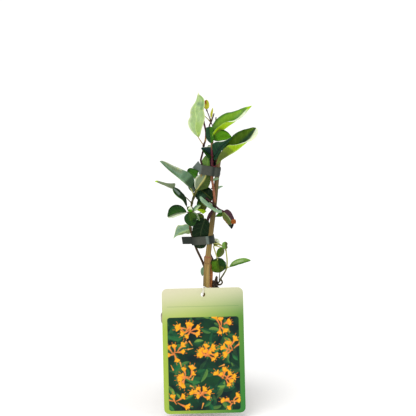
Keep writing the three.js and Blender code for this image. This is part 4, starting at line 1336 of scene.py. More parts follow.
LOW_SPUR = ((18.6, -13, 138.4), (20.2, -13.5, 140.6), (21.9, -13.9, 143.2), (22.6, -14.4, 145.2))
LOW_LOOP = (
    (18.6, -20, 167.6), (17.6, -19.9, 171.6), (16.6, -19.2, 175), (15.1, -18.2, 179.4),
    (14.4, -17.6, 183), (17, -17.6, 183.2), (21.6, -17.5, 181.6), (26, -16.9, 179.6),
)  # fmt: skip
TIP_TWIGS = (
    ((12.6, -18.6, 302), (13.7, -18, 310), (13.3, -17, 316.6), (11.3, -15.8, 321.6),
     (9.3, -15.6, 327.9), (6.3, -15, 335.6)),
    ((12.6, -18.5, 302.6), (11.2, -17, 310), (9.4, -16, 316.8), (11.1, -15.4, 321.6),
     (12.8, -14.6, 325.6), (14.6, -14.4, 331)),
    ((13.5, -17.6, 313), (16, -15.4, 318), (16.7, -14.8, 327)),
    ((11.2, -15.7, 321.6), (8, -15.2, 324.8), (4.4, -15, 328.4)),
)  # fmt: skip
RIGHT_TWIG = (
    (5.8, -26.2, 239.3), (10.5, -26, 235.2), (15.3, -25.7, 231.2), (19.5, -26.2, 227.4),
    (24.4, -27, 224.6),
)  # fmt: skip

LEADER_LEAVES = (
    # the large pair at the top right, and the leaves round its node
    # Painted light on this leaf: the dark marks on its left half are painted shade, meadow and lime
    # over that half paint the light shining through it, silver and teal near the tip are painted
    # reflections, frost over the right half near the tip is its whitish underside with a painted
    # highlight, and its lime under half is the half that the light shines on.
    dict(root=(12.6, -18.6, 302), base=(13.9, -18.8, 305.2),
         mid=((24.1, -21.5, 313.7), (30.6, -23.5, 319.1), (38, -26, 325), (43.6, -28, 331.4),
              (49.4, -29, 338)), tip=(55.1, -30, 342.3), face=(-0.43, -0.52, 0.74),
         left=(8, 13.5, 13, 6.5, 1.4), right=(7, 12, 13, 7.5, 2.5),
         fold=((65, 56, 46, 38, 31), (68, 68, 58, 18, -5)), wave=0.1, top=("fresh", "pale"),
         under=("pale", "lime"), tip_tint="lime", tip_from=0.9, stalk_tint="maroon",
         marks=(("top", -1, 0.3, -1.2, 0, "dark", 0.55),
                ("top", -1, 0.84, -1.2, -0.85, "dark", 0.7),
                ("top", 0.6, 0.84, -0.5, 0, "silver", 0.3),
                ("top", 0.8, 0.84, -1.2, 0, "teal", 0.8),
                ("top", 0.5, 0.84, 0, 1.2, "frost", 0.8),
                ("under", -1, 0.25, 0, 0.6, "keel", 0.8),
                ("top", 0.1, 0.95, -0.9, -0.1, "meadow", 0.5),
                ("top", 0.2, 0.8, -0.8, -0.3, "lime", 0.25))),
    dict(root=(12.3, -18.8, 299), base=(11.3, -20.2, 299.4), tip=(9.7, -20, 317.6),
         face=(-0.2, -0.9, -0.3), left=(2, 4, 4.6, 4.6, 4), right=(2, 4, 4.6, 4.6, 4), fold=12,
         top=("shade", "mid")),
    dict(root=(12.6, -18.6, 302), base=(14, -19.5, 303.2), mid=((24.3, -23, 306.6),),
         tip=(33.5, -27, 307.4), face=(0, -1, 0.3), left=(5, 8, 8.5, 6, 2.5),
         right=(2, 3.5, 4, 3.5, 2), fold=14, top=("fresh", "fresh"), stalk_tint="maroon",
         marks=(("top", -1, 2, -1.2, -0.8, "dark", 0.8),
                ("top", -1, 0.2, -1.2, 1.2, "dark", 0.5))),
    dict(root=(12.4, -19.2, 279), base=(12.4, -17.6, 284.3), mid=((6.4, -19, 289.1),),
         tip=(0.3, -22, 294.2), face=(0.48, -0.77, 0.43), left=(5.4, 6.6, 5.2, 2.8, 1.2),
         right=(6, 9.5, 8.5, 4.5, 2), fold=(20, 38), top=("dark", "teal"),
         marks=(("top", 0.05, 0.95, 0.9, 1.2, "frost", 0.8),)),
    dict(root=(12.4, -19.2, 278.5), base=(13.8, -17.6, 282.7),
         mid=((17.8, -20.8, 287.6), (23.2, -28, 296.2)), tip=(33.3, -32.5, 307.4),
         face=(-0.52, -0.77, 0.38), left=(2.5, 9.5, 9.5, 3.4, 1.5), right=(5.5, 5, 4, 2.2, 1.2),
         fold=(30, 20), top=("shade", "shade"),
         marks=(("top", 0.62, 0.97, -1.2, -0.92, "frost", 0.8),
                ("top", -1, 2, -0.25, 0.25, "teal", 0.6))),
    dict(root=(12.4, -19, 283), base=(13.4, -17.2, 285), mid=((13.8, -16.6, 280),),
         tip=(13.8, -16.4, 270), face=(0, -1, 0.1), width=11, fold=10, top=("night", "night"),
         marks=(("top", -1, 2, 0.8, 1.2, "fresh", 0.8),)),
    # Painted light on this leaf: its lime under half is the half that the light shines on, and
    # frost over the right half's upper side is its whitish underside with a painted highlight.
    dict(root=(12.4, -19.4, 274.6), via=[(14.2, -22, 273.6)], base=(17.1, -23.2, 274.9),
         mid=((23, -24.5, 281.9), (29.5, -27, 286.8), (38.3, -30, 292.6), (46, -33, 299.3),
              (52, -34.5, 305.2), (56, -35.5, 311)), tip=(60, -36, 319), face=(-0.42, -0.4, 0.82),
         left=(2, 6, 13, 15.5, 13, 6), right=(2, 7.5, 14, 14, 9.5, 5),
         fold=((76, 55, 34), (76, 75, 68, 31, -35)), top=("moss", "pale"), under=("pale", "lime"),
         stalk_tint="maroon",
         marks=(("top", -1, 2, -1.2, -0.85, "dark", 0.8), ("top", 0.6, 2, -0.35, 0, "teal", 0.8),
                ("top", 0.3, 2, 0, 1.2, "frost", 0.9), ("under", -1, 0.3, -0.2, 1.2, "keel", 0.8),
                ("under", -1, 0.42, 0, 1.2, "keel", 0.7),
                ("under", 0.5, 2, 0.9, 1.2, "pale", 0.5), ("top", -1, 0.45, 0, 1.2, "keel", 0.9),
                ("under", 0.3, 0.9, 0.1, 0.85, "moss", 0.2))),
    # the middle of the plant
    dict(root=(12.3, -21.4, 258.4), base=(13.4, -23, 258.8), tip=(20.4, -25, 261),
         face=(0.2, -0.5, 0.8), width=5, fold=10, top=("sage", "glaucous")),
    dict(root=(13.6, -23.1, 250.4), via=[(11.7, -19.6, 248.4), (13.4, -15.6, 247)],
         base=(17.7, -14.8, 246.3), tip=(24.6, -14, 249.9), face=(0.3, 0.5, 0.8), width=5.4,
         fold=16, under=("mint", "mint")),
    dict(root=(15.6, -25.1, 232.4), base=(13.2, -24, 236.8), tip=(-4.1, -14, 249.6),
         face=(0, -0.9, 0.4), left=(7, 10.5, 11.5, 9.5, 5), right=(4, 7, 7.6, 6, 3), fold=7,
         top=("deep", "deep"), stalk_tint="maroon",
         marks=(("top", 0.35, 1, -0.8, -0.1, "shade", 0.5),
                ("top", 0.1, 0.9, -0.03, 0.03, "olive", 0.6))),
    dict(root=(7.3, -19.5, 211.4), base=(4.8, -20.8, 215),
         mid=((0.3, -21.2, 200), (-0.6, -20.8, 190.4)), tip=(-1.9, -20.7, 181),
         face=(-0.12, -0.98, 0), left=(5.5, 8.6, 8.6, 8, 6), right=(6.5, 9.8, 9.8, 8.8, 6.4),
         fold=0, arch=0.02, wave=0, top=("deep", "deep")),
    # the twig that crosses the cane
    dict(root=(24.2, -26.9, 224.8), base=(24.5, -27, 224.4),
         mid=((29.6, -29, 219.7), (33.2, -30.5, 214.5)), tip=(33.7, -32, 206),
         face=(0.3, -0.9, 0.3), left=(4.6, 5.7, 4.6, 2.9, 1.4), right=(3.4, 6.9, 7.6, 5.7, 1.7),
         fold=20, top=("purple", "keel"), stalk_tint="plum",
         marks=(("top", 0.78, 2, -1.2, 1.2, "night", 0.9),
                ("top", -1, 0.8, -0.08, 0.12, "pale", 0.6),
                ("top", 0.3, 0.8, 0.85, 1.2, "rust", 0.5))),
    dict(root=(33.4, -31.1, 212.6), base=(33.2, -31.3, 213.6), tip=(38.6, -31, 213.5),
         face=(0, -0.8, 0.6), left=(1.6, 2.6, 2.9, 2.9, 2.4), right=(1.6, 2.6, 2.9, 2.9, 2.4),
         fold=24, stalk=0.5, top=("rust", "rust"), under=("rust", "rust"), stalk_tint="umber"),
    dict(root=(24.2, -26.9, 224.8), base=(24.4, -27.6, 224.3),
         mid=((19.7, -28.2, 224.1), (13.5, -28.8, 227), (6, -29.2, 232.2), (0.9, -29.5, 237.3)),
         tip=(-1, -29.6, 241.9), face=(0.35, 0.8, 0.5), left=(2.2, 2.6, 3, 4, 2.6),
         right=(3.2, 4.2, 3.4, 3.4, 2), fold=26, under=("mint", "mint"), stalk_tint="maroon",
         marks=(("under", 0.2, 0.9, -1.2, -0.2, "glaucous", 0.5),)),
    dict(root=(14.2, -25.4, 231.6), base=(12, -27.5, 230), tip=(8, -28, 234.4),
         face=(0, 0.9, 0.4), width=5, fold=10, bow=0, under=("mint", "glaucous")),
    dict(root=(24.2, -26.8, 224.4), base=(25.5, -26.4, 221.6), tip=(15.8, -24.8, 218.3),
         face=(0, -0.8, 0.6), left=(1.5, 2.8, 2.6, 1.6, 0.8), right=(2.5, 3.4, 2.8, 1.4, 0.6),
         fold=12, top=("moss", "mid")),
    # behind
    dict(root=(12.2, -20.9, 260.6), base=(11.2, -15.5, 259.4), tip=(6, 12, 250), face=(0, 0.3, 1),
         width=14, fold=20, bow=0.08, top=("mid", "dark")),
    dict(root=(12.4, -19.2, 283), base=(12.8, -15.5, 284), tip=(15.5, 15, 289),
         face=(0.1, -0.1, 1), width=15, fold=20, bow=0.08, top=("mid", "fresh")),
    dict(root=(12.5, -18.7, 301), base=(13.5, -15.5, 302), tip=(21, 12, 301), face=(0, 0.2, 1),
         width=14, fold=22, bow=0.1, top=("fresh", "mid")),
    # the young leaves at the tips of the twigs
    dict(root=(6.6, -15, 334.8), base=(6.3, -15, 335.8), tip=(6.3, -16, 346.4),
         face=(0.1, -0.9, 0), left=(1.6, 2.8, 3, 2.8, 1.8), right=(1.6, 2.8, 3.1, 2.6, 1.6),
         fold=16, stalk=0.5, top=("rust", "young"), stalk_tint="umber",
         marks=(("top", -1, 0.55, -1.2, 0.1, "young", 0.8),)),
    dict(root=(10.9, -15.5, 323), base=(11.4, -15.6, 326.5), tip=(13.3, -16.4, 337.7),
         face=(-0.4, -0.9, 0), width=2.8, fold=16, stalk=0.45, top=("young", "young"),
         stalk_tint="straw"),
)  # fmt: skip

LEFT_LEAVES = (
    dict(root=(3.4, -18.9, 296.4), base=(-2.5, -20, 305.7),
         mid=((-5.3, -21, 315.1), (-4.6, -22, 327.4), (-6.3, -23.2, 336.4), (-2.5, -24.2, 347.5)),
         tip=(-2, -25, 355.9), face=(0.1, 1, 0.1), left=(3, 6.4, 8.2, 9.8, 9.6, 6.6, 0.5),
         right=(1.8, 5.4, 9.4, 6.8, 3.4, 2.4, 1.2), fold=18, wave=0.6, top=("fresh", "mid"),
         under=("spring", "spring"), rim="cream", tip_tint="cream", tip_from=0.95,
         stalk_tint="tan",
         marks=(("under", 0.1, 0.9, 0.7, 1.2, "frost", 0.3),
                ("under", -1, 0.35, -0.9, 0, "lime", 0.3),
                ("under", 0.3, 0.85, -0.75, -0.35, "pale", 0.3),
                ("under", 0.62, 0.95, -1, -0.6, "fresh", 0.5),
                ("under", 0.72, 0.8, -0.9, 0.2, "glaucous", 0.6))),
    # the middle left
    dict(root=(-7.6, -23.4, 239.6), via=[(-9, -23, 245)], base=(-11.2, -22.5, 249.4),
         mid=((-20.8, -24.5, 258.9), (-35.4, -28, 271.6)), tip=(-44.4, -30, 281.1),
         face=(0.43, 0.77, 0.47), left=(9, 11.8, 9.2, 6.4, 3.4), right=(6, 9, 7, 4.6, 2.6),
         fold=40, top=("dark", "mid"), under=("glaucous", "mid"), stalk_tint="straw",
         marks=(("under", -1, 0.2, -1.2, 0.1, "deep", 0.7),
                ("under", -1, 0.36, -1.2, -0.1, "dark", 0.4),
                ("under", -1, 0.6, 0.05, 0.5, "pale", 0.8),
                ("under", 0.56, 0.86, 0, 1.2, "olive", 0.9),
                ("under", 0.86, 2, 0, 1.2, "glaucous", 0.8),
                ("under", 0.4, 0.95, -0.2, 0, "dark", 0.5),
                ("under", 0.4, 1, -1.2, -0.4, "sage", 0.7),
                ("under", 0.45, 1, -1.2, -0.85, "frost", 0.6))),
    dict(root=(-8, -23.2, 238.6), base=(-7.6, -21, 245), tip=(-11.7, -19, 261.3),
         face=(-0.3, 0.8, 0.3), width=9, fold=12, top=("dark", "dark"), under=("dark", "dark"),
         marks=(("under", -1, 0.4, -1.2, 1.2, "silver", 0.4),)),
    dict(root=(0.3, -19.8, 262), base=(-3.7, -18.8, 263.5), tip=(-14.9, -22, 269.2),
         face=(-0.1, -0.9, 0.4), left=(6.4, 4.8, 3, 2.1, 1.2), right=(4.6, 4.8, 4.8, 4.4, 3),
         fold=12, top=("mid", "mid"),
         marks=(("top", -1, 2, -1.2, 1.2, "dark", 0.25), ("top", -1, 2, 0.8, 1.2, "dark", 0.8),
                ("top", 0.8, 2, -1.2, 1.2, "dark", 0.8))),
    dict(root=(-5, -23.6, 246.6), base=(-4.4, -24.2, 248),
         mid=((-0.2, -23.8, 254.2), (4.2, -21.9, 260.1), (5.6, -20.8, 263.6),
              (7.6, -20.5, 276.4)), tip=(8.1, -19.6, 286.2), face=(0, 1, 0),
         left=(4.5, 9, 5, 2.3, 1.2), right=(4.7, 8.6, 6.6, 7.8, 4.4), fold=8, wave=0.1,
         under=("dark", "sage"), stalk_tint="straw",
         marks=(("under", -1, 0.5, 0.85, 1.2, "frost", 0.7),
                ("under", 0.55, 2, -1.2, 1.2, "meadow", 0.9),
                ("under", 0.55, 2, -1.2, 1.2, "dark", 0.35),
                ("under", -1, 0.55, -1.2, 0, "keel", 0.5),
                ("under", -1, 0.6, -0.1, 0.08, "straw", 0.6),
                ("under", 0.6, 2, -0.3, -0.1, "fresh", 0.5))),
    dict(root=(-12.1, -21.3, 223.5), via=[(-14, -23.2, 226)], base=(-15.2, -24, 229.3),
         mid=((-18.3, -26, 238.8), (-23.7, -28, 244.8)), tip=(-30.2, -26.5, 251),
         face=(0.2, -0.9, 0.4), left=(1, 2, 3.4, 3.8, 2.4), right=(1, 2, 3.4, 3.8, 2.4), fold=-12,
         top=("deep", "deep"),
         marks=(("top", 0.62, 0.96, -0.4, 0.3, "silver", 0.45),
                ("top", -1, 2, -1.2, -0.8, "fresh", 0.5))),
    dict(root=(-10, -22.4, 232.8), via=[(-16.3, -22.2, 239.2), (-23, -21, 244)],
         base=(-29.3, -20, 248.1), tip=(-50.1, -25, 257.6), face=(0.31, 0.77, 0.56),
         left=(6.4, 5, 3.2, 2.6, 1.8), right=(5.4, 3.6, 2, 1.4, 1.2), fold=30, bow=0,
         under=("sage", "olive"), tip_tint="lime", tip_from=0.88,
         marks=(("under", -1, 0.3, -1.2, 0, "sage", 0.5),)),
    dict(root=(-12.2, -21, 221), base=(-15.6, -22, 222.6), mid=((-26.4, -25.5, 222),),
         tip=(-36.3, -30, 219), face=(-0.15, -0.7, 0.68), left=(1.2, 2.4, 3.4, 3.6, 2.4),
         right=(3.5, 7.6, 9.6, 8, 3.4), fold=(-20, 40), top=("sage", "dark"),
         marks=(("top", -1, 2, -1.2, -0.5, "frost", 0.7),
                ("top", 0.2, 0.9, 0.05, 0.4, "mid", 0.3), ("top", -1, 2, 0.8, 1.2, "deep", 0.8))),
    dict(root=(-12.2, -21, 221.6), base=(-12.4, -23.2, 222.3), tip=(-9.2, -28, 207.7),
         face=(0, -1, 0.2), width=14.4, fold=12, top=("dark", "dark"),
         marks=(("top", -1, 0.6, -0.9, 0.3, "moss", 0.4),
                ("top", 0.45, 0.75, -1, -0.3, "deep", 0.8), ("top", -1, 2, 0.8, 1.2, "dark", 0.6),
                ("top", 0.75, 2, -1.2, 1.2, "dark", 0.4))),
    dict(root=(-11, -19.4, 203), base=(-9.6, -18.4, 203.9),
         mid=((-18.4, -18, 200), (-24, -17, 197.1)), tip=(-30.6, -16, 191.1),
         face=(-0.1, 0.9, 0.3), left=(4.5, 7, 8.8, 3.6, 0.6), right=(4, 6, 4.6, 1.4, 0.4),
         fold=14, wave=1.7, top=("fresh", "mid"), under=("mint", "spring"), rim="cream",
         marks=(("under", 0.1, 0.6, -0.55, -0.15, "glaucous", 0.6),
                ("under", 0.25, 0.6, 0.2, 0.8, "glaucous", 0.3))),
    # the tuft at the left node
    dict(root=(-11.9, -21, 222), via=[(-7.5, -20.6, 223.6)], base=(-4, -20.8, 224.8),
         tip=(6.4, -22.4, 223.9), face=(-0.2, -0.7, 0.7), left=(0.9, 1.2, 1.2, 0.8, 0.4),
         right=(0.8, 1.6, 3.4, 4.4, 1.5), fold=6, top=("lime", "lime"), stalk_tint="straw",
         marks=(("top", -1, 2, -1.2, 1.2, "moss", 0.25),)),
    dict(root=(-12, -21, 222), base=(-7.4, -21.6, 223.7), tip=(-0.1, -23.5, 230.7),
         face=(0.4, 0.6, 0.6), width=5, fold=20, sway=0.08, under=("pale", "glaucous")),
    dict(root=(-12, -21.2, 222), base=(-9.4, -23.2, 222.7), tip=(-1.2, -24.4, 213.2),
         face=(0.5, -0.7, 0.5), width=5.4, fold=24, top=("sage", "mid")),
    dict(root=(-12, -21, 222), via=[(-7, -18.6, 219.6)], base=(2.5, -16.6, 222),
         tip=(-0.8, -14, 237.2), face=(0, -0.9, 0.3), width=11.5, fold=12, top=("moss", "olive"),
         marks=(("top", -1, 2, -1.2, -0.55, "dark", 0.8),
                ("top", -1, 0.35, -1.2, 1.2, "olive", 0.6),
                ("top", 0.45, 0.65, 0.5, 1, "rust", 0.8))),
    dict(root=(-7, -18.7, 219.6), base=(-2.4, -17, 219.4), tip=(2.6, -17, 210.8),
         face=(0.1, -0.9, 0.3), width=7.5, fold=10, top=("olive", "mid")),
    dict(root=(-12.2, -21, 221), base=(-11.9, -22.4, 222.8), tip=(-11, -25, 229.8),
         face=(0, -0.9, 0.3), width=5.6, fold=20, top=("fresh", "fresh"), tip_tint="frost",
         tip_from=0.55, stalk_tint="straw"),
    # low, beside the cane
    dict(root=(3.2, -15, 161.6), base=(2.8, -15.9, 158.6), tip=(1.9, -18, 148.8),
         face=(-0.4, -0.9, 0), width=5, fold=16, top=("glaucous", "glaucous")),
    # behind
    dict(root=(-12.2, -20.8, 220.6), base=(-11.2, -17, 220), tip=(-4.5, 10, 218.5),
         face=(0, 0, 1), width=14, fold=22, bow=0.08, top=("mid", "dark")),
)  # fmt: skip

LOW_LEAVES = (
    # The pale mark on this leaf's upper side is a painted highlight.
    dict(root=(28.9, -15, 157.4), base=(32, -15.5, 158.6), tip=(55.2, -24, 168.1),
         face=(-0.15, -0.77, 0.62), left=(2, 4.6, 5.4, 4.6, 2.2), right=(1, 1.8, 2, 1.6, 1),
         fold=34, top=("meadow", "mid"), stalk_tint="straw",
         marks=(("top", 0.2, 0.7, -0.7, -0.2, "pale", 0.4),)),
    dict(root=(27.4, -16.5, 178.6), base=(27.5, -16.6, 179.6), tip=(26.8, -19, 188.4),
         face=(0, -1, 0.2), left=(2.4, 4, 3.6, 3.6, 2.8), right=(1.8, 2.4, 2.2, 2.8, 2), fold=14,
         top=("meadow", "keel"), stalk_tint="straw"),
    dict(root=(24.6, -16.9, 182), base=(24.2, -17.6, 181), tip=(18.9, -20, 170.6),
         face=(-0.1, -1, 0.2), width=8.4, fold=14, top=("keel", "moss"), stalk_tint="straw"),
    dict(root=(21, -17.2, 184.2), base=(20.4, -16.8, 185), tip=(13.6, -11.4, 189),
         face=(-0.2, -0.8, 0.5), left=(3, 5, 4.6, 3, 1.4), right=(2, 3.4, 3.6, 2.8, 1.4), fold=12,
         top=("keel", "frost"), stalk_tint="straw"),
    dict(root=(18.2, -12.7, 137.6), via=[(20.4, -14, 141), (20.6, -15, 147)],
         base=(21.2, -16.2, 152.4), mid=((19.9, -18.4, 161.6),), tip=(18.6, -20.6, 170.4),
         face=(-0.1, -1, 0.25), left=(5, 8.4, 8, 7.6, 6), right=(2.4, 7, 8.6, 8, 5.6), fold=14,
         wave=0.7, stalk=0.75, top=("moss", "dark"), stalk_tint="moss",
         marks=(("top", 0.85, 2, -1.2, 1.2, "deep", 0.8),
                ("top", 0.3, 0.8, -0.9, -0.3, "fresh", 0.3),
                ("top", -1, 0.45, 0, 0.7, "olive", 0.6))),
)  # fmt: skip

# where along the leading shoot it is thicker: the share, how far that reaches, and by how much
LEADER_SWELLINGS = ((0.436, 0.01, 0.75), (0.385, 0.04, 0.35), (0.655, 0.02, 0.5))
LEADER_COLOURS = (
    (0, "umber"), (0.28, "orange"), (0.412, "orange"), (0.424, "plum"), (0.45, "plum"),
    (0.55, "umber"), (0.62, "plum"), (0.69, "plum"), (0.715, "moss"), (0.73, "salmon"),
    (0.83, "salmon"), (0.85, "maroon"), (0.95, "maroon"), (1, "tan"),
)  # fmt: skip
LEFT_COLOURS = (
    (0, "umber"), (0.3, "umber"), (0.42, "tan"), (0.47, "moss"), (0.54, "moss"), (0.6, "straw"),
    (0.66, "tan"), (0.7, "plum"), (0.85, "plum"), (0.87, "tan"), (0.89, "maroon"), (1, "plum"),
)  # fmt: skip
LOW_COLOURS = ((0, "umber"), (0.3, "moss"), (0.45, "straw"), (1, "straw"))
LEADER_FOOT, LEADER_NARROWING = 1.85, 0.62  # its radius at the foot, and how much less at the end
JOINT_REACH = 1.5
# radius at the foot and colours at foot and end of each tip twig
TIP_LOOKS = (
    (0.66, "maroon", "plum"), (0.92, "maroon", "plum"), (0.8, "plum", "umber"),
    (0.6, "tan", "straw"),
)  # fmt: skip


def leader_radius(share):
    swellings = sum(rise * bell(share - at, reach) for at, reach, rise in LEADER_SWELLINGS)
    return LEADER_FOOT - LEADER_NARROWING * share + swellings


def nearest(spot, roots):
    """Distance from a spot on a stem to the nearest leaf's root."""
    return min((spot - root).length for root in roots)


def jointed(plain, roots, stems):
    """A radius along a stem that swells where its leaves grow."""
    rise = stems.joint / MM
    return lambda share, angle, spot: plain(share) + rise * bell(nearest(spot, roots), JOINT_REACH)


def banded(stops, roots, stems):
    """A colour along a stem, darker at its joints, and with painted light that makes one side
    lighter.
    """
    named = [(share, tuple(getattr(stems, colour))) for share, colour in stops]

    def tint(share, angle, spot):
        dark = 0.45 * bell(nearest(spot, roots) - 0.9, 0.8)
        cloud = 0.18 * noise.noise(Vector(spot) * 0.35)
        # painted light: the cosine term makes one side of the stem lighter
        light = (1 - dark) * (1 + cloud + 0.12 * math.cos(angle))
        return tuple(np.array(between(named, share)) * light)

    return tint


def build_shoot(name, node_name, branches, leaves, settings, seed):
    """A leafy shoot. Each branch is its points, its radius by share and its colour stops."""
    stems, foliage = settings.stems, settings.foliage
    wood, stalks, green, skin = Skin(), Skin(), Skin(), Skin()
    roots = [Vector(leaf["root"]) for leaf in leaves]
    for number, (points, plain, stops) in enumerate(branches):
        radius, tint = jointed(plain, roots, stems), banded(stops, roots, stems)
        tube(wood, points, radius, tint, sides=16, step=0.5, seed=seed + number)
    for number, leaf in enumerate(leaves):
        add_leaf(green, stalks, foliage, stems, seed + number, leaf)
    for part, surface in ((wood, 0), (stalks, 0), (green, 1)):
        skin.add(part.points, part.faces, part.tints, part.grains, part.blades, surface)
    piece(name, skin, [stem_material(), leaf_material(foliage)], node_name)


def build_leader(settings):
    branches = [
        (LEADER, leader_radius, LEADER_COLOURS),
        (RIGHT_TWIG, taper(1.05, 0.95), ((0, "plum"), (1, "plum"))),
    ]
    for twig, (radius, foot_colour, end_colour) in zip(TIP_TWIGS, TIP_LOOKS):
        branches.append((twig, taper(radius, 0.75 * radius), ((0, foot_colour), (1, end_colour))))
    build_shoot("leading_shoot_dressed", "leading_shoot", branches, LEADER_LEAVES, settings, 100)


def build_left(settings):
    branches = [(LEFT, taper(1.35, 1.0), LEFT_COLOURS)]
    build_shoot("left_shoot_dressed", "left_shoot", branches, LEFT_LEAVES, settings, 200)


def build_low(settings):
    branches = [
        (LOW, taper(0.95, 0.65), LOW_COLOURS),
        (LOW_LOOP, taper(0.72, 0.62), ((0, "straw"), (1, "straw"))),
        (LOW_SPUR, taper(0.8, 0.8), ((0, "umber"), (1, "moss"))),
    ]
    build_shoot("low_shoot_dressed", "low_shoot", branches, LOW_LEAVES, settings, 300)


# ---------------------------------------------------------------- tapes

BELT_POINTS, BELT_ROWS = 150, 13
POST_POINTS = 24  # steps of the belt's outline round each post
BELT_BITE = 0.12  # how far the belt presses into what it holds
EDGE_CURL = 0.25  # how far its edges curl in
END_COLUMNS, END_ROWS = 22, 14
END_WAVE = 0.22  # ripple of the loose end


def belt_outline(left, right):
    """Points, evenly spaced, of a belt pulled tight round two posts of (x, y, radius)."""
    (lx, ly, lr), (rx, ry, rr) = left, right
    heading = math.atan2(ry - ly, rx - lx)
    open_angle = math.acos((lr - rr) / math.hypot(rx - lx, ry - ly))
    loop = []
    for x, y, r, start, end in (
        (rx, ry, rr, heading - open_angle, heading + open_angle),
        (lx, ly, lr, heading + open_angle, heading - open_angle + 2 * math.pi),
    ):
        for k in range(POST_POINTS + 1):
            angle = start + (end - start) * k / POST_POINTS
            loop.append(Vector((x + r * math.cos(angle), y + r * math.sin(angle), 0)))
    length = sum((b - a).length for a, b in zip(loop, loop[1:]))
    return evenly([*loop, loop[0]], length / BELT_POINTS)[0][:-1]


def add_belt(skin, posts, height, middle, turn, shades, film):
    """A belt of film round two posts, a little slack and rippled, with curling edges."""
    outline = belt_outline(*posts)
    count = len(outline)
    levels = [height * (row / (BELT_ROWS - 1) - 0.5) for row in range(BELT_ROWS)]
    points, tints, grains = [], [], []
    for inside, heights in ((0, levels), (1, levels[::-1])):
        for z in heights:
            edge = abs(z) / (height / 2)
            for k, spot in enumerate(outline):
                ahead = outline[(k + 1) % count] - outline[k - 1]
                out = Vector((ahead.y, -ahead.x, 0)).normalized()
                ripple = 0.1 * math.sin(z * 1.3 + spot.x * 0.5)
                ripple += 0.08 * noise.noise(Vector((spot.x * 0.4, spot.y * 0.4, z * 0.9)))
                away = ripple - EDGE_CURL * edge**6 - film * inside - BELT_BITE
                here = spot + out * away
                points.append(turn @ Vector((here.x - middle[0], here.y, z)) + Vector(middle))
                # painted shade: the half of the belt that faces back (+Y) gets 0.6 of its colour
                front = 1 if out.y < 0 else 0.6
                cloud = 1 + 0.12 * noise.noise(Vector((spot.x, 0, z)) * 0.6)
                tints.append(tuple(np.array(between(shades, spot.x)) * front * cloud))
                grains.append((k * 0.4, z, inside))
    faces = grid_faces(2 * BELT_ROWS, count, wrap=True, closed=True)
    skin.add(points, faces, tints, grains)


def add_loose_end(skin, corners, face, bend, middle, turn, film, colours):
    """The tape's loose end: a curved flat tab, with a frame of another colour."""
    corners = [np.array(corner, float) for corner in corners]
    face = np.array(face, float)
    face /= np.linalg.norm(face)
    inner, outer = (np.array(colour) for colour in colours)
    points, tints, grains = [], [], []
    for side in (0.5, -0.5):
        for row in range(END_ROWS):
            v = row / (END_ROWS - 1)
            for column in range(END_COLUMNS):
                u = column / (END_COLUMNS - 1)
                low = corners[0] + (corners[1] - corners[0]) * u
                high = corners[3] + (corners[2] - corners[3]) * u
                lift = bend * u * u + END_WAVE * math.sin(5 * u + 3 * v) * u
                spot = low + (high - low) * v + face * (lift + side * film)
                points.append(turn @ Vector(spot) + Vector(middle))
                rim = float(smoothly(0.6, 0.95, max(abs(2 * u - 1), abs(2 * v - 1))))
                tints.append(tuple(inner + (outer - inner) * rim))
                grains.append((u * 12, v * 9, 7))
    skin.add(points, sheet_faces(END_ROWS, END_COLUMNS, flip=True), tints, grains)


def build_tape(name, node_name, tape, posts, height, middle, tilt, shades, **end):
    """A tying tape: its belt and its loose end, tilted together round the belt's middle."""
    turn = Matrix.Rotation(math.radians(tilt), 3, "Y")
    film = tape.film / MM
    skin = Skin()
    add_belt(skin, posts, height, middle, turn, shades, film)
    add_loose_end(skin, middle=middle, turn=turn, film=film, **end)
    piece(name, skin, [tape_material()], node_name)


def build_tapes(settings):
    tape = settings.tape
    pale, grey_film, dark = tuple(tape.pale), tuple(tape.grey), tuple(tape.dark)
    # pale stops and the upper loose end are painted sheen where the film catches the light; dark
    # stops and the lower loose end are painted shade, partly dark leaves showing through the film
    build_tape(
        "upper_tape_dressed",
        "upper_tape",
        tape,
        posts=((0.5, -19.8, 2.3), (18.5, -19.1, 3.5)),
        height=10.4,
        middle=(10, 0, 268.7),
        tilt=8.5,
        shades=(
            (-3, pale), (-1, pale), (1.5, grey_film), (11, grey_film), (14, dark),
            (16.5, grey_film), (22, dark),
        ),
        corners=(
            (-10.9, -18.5, -4.2), (-19.2, -15.4, -0.4), (-14, -17.4, 8.4), (-10.9, -18.5, 4.6),
        ),
        face=(-0.2, -1, 0),
        bend=0.4,
        colours=(pale, pale),
    )  # fmt: skip
    build_tape(
        "lower_tape_dressed",
        "lower_tape",
        tape,
        posts=((-7.9, -18.6, 2.8), (10, -19.4, 5.6)),
        height=9.2,
        middle=(1.5, 0, 190.4),
        tilt=-7,
        shades=(
            (-9.5, dark), (-3, grey_film), (5.4, grey_film), (6.4, pale), (8.2, pale), (9.6, dark),
            (16, dark),
        ),
        corners=(
            (-11.2, -20.2, -3), (-21.9, -21.6, -1.6), (-21.9, -21.6, 6.8), (-11.2, -20.2, 5.4),
        ),
        face=(-0.15, -1, 0),
        bend=-0.3,
        colours=(dark, tuple(0.5 * c for c in dark)),
    )  # fmt: skip


# ---------------------------------------------------------------- label

CARD_WIDTH, CARD_HEIGHT, CARD_THICKNESS, CARD_CORNER = 89.6, 138, 0.8, 6
CARD_LEAN, CARD_TURN = 13, 1.3  # degrees that it leans back and is turned to one side
CARD_SHIFT, CARD_ABOVE_LIP = 3.2, 43
EYE = np.array((0.7, 61.8))  # middle of the hole for the tie
EYE_RADIUS = 2.5
INK_LIFT = 0.015  # the print lies this far above the card's front
CARD_RIM_POINTS = 240
PICTURE = (-39.4, 39.4, -65.6, 37.0)  # left, right, low and high edges of the printed picture
PICTURE_CORNER = 3
RULE_HEIGHT = 48.9  # of the thin rule above the picture
PRINTED_LEAVES, PRINTED_BUDS = 110, 16
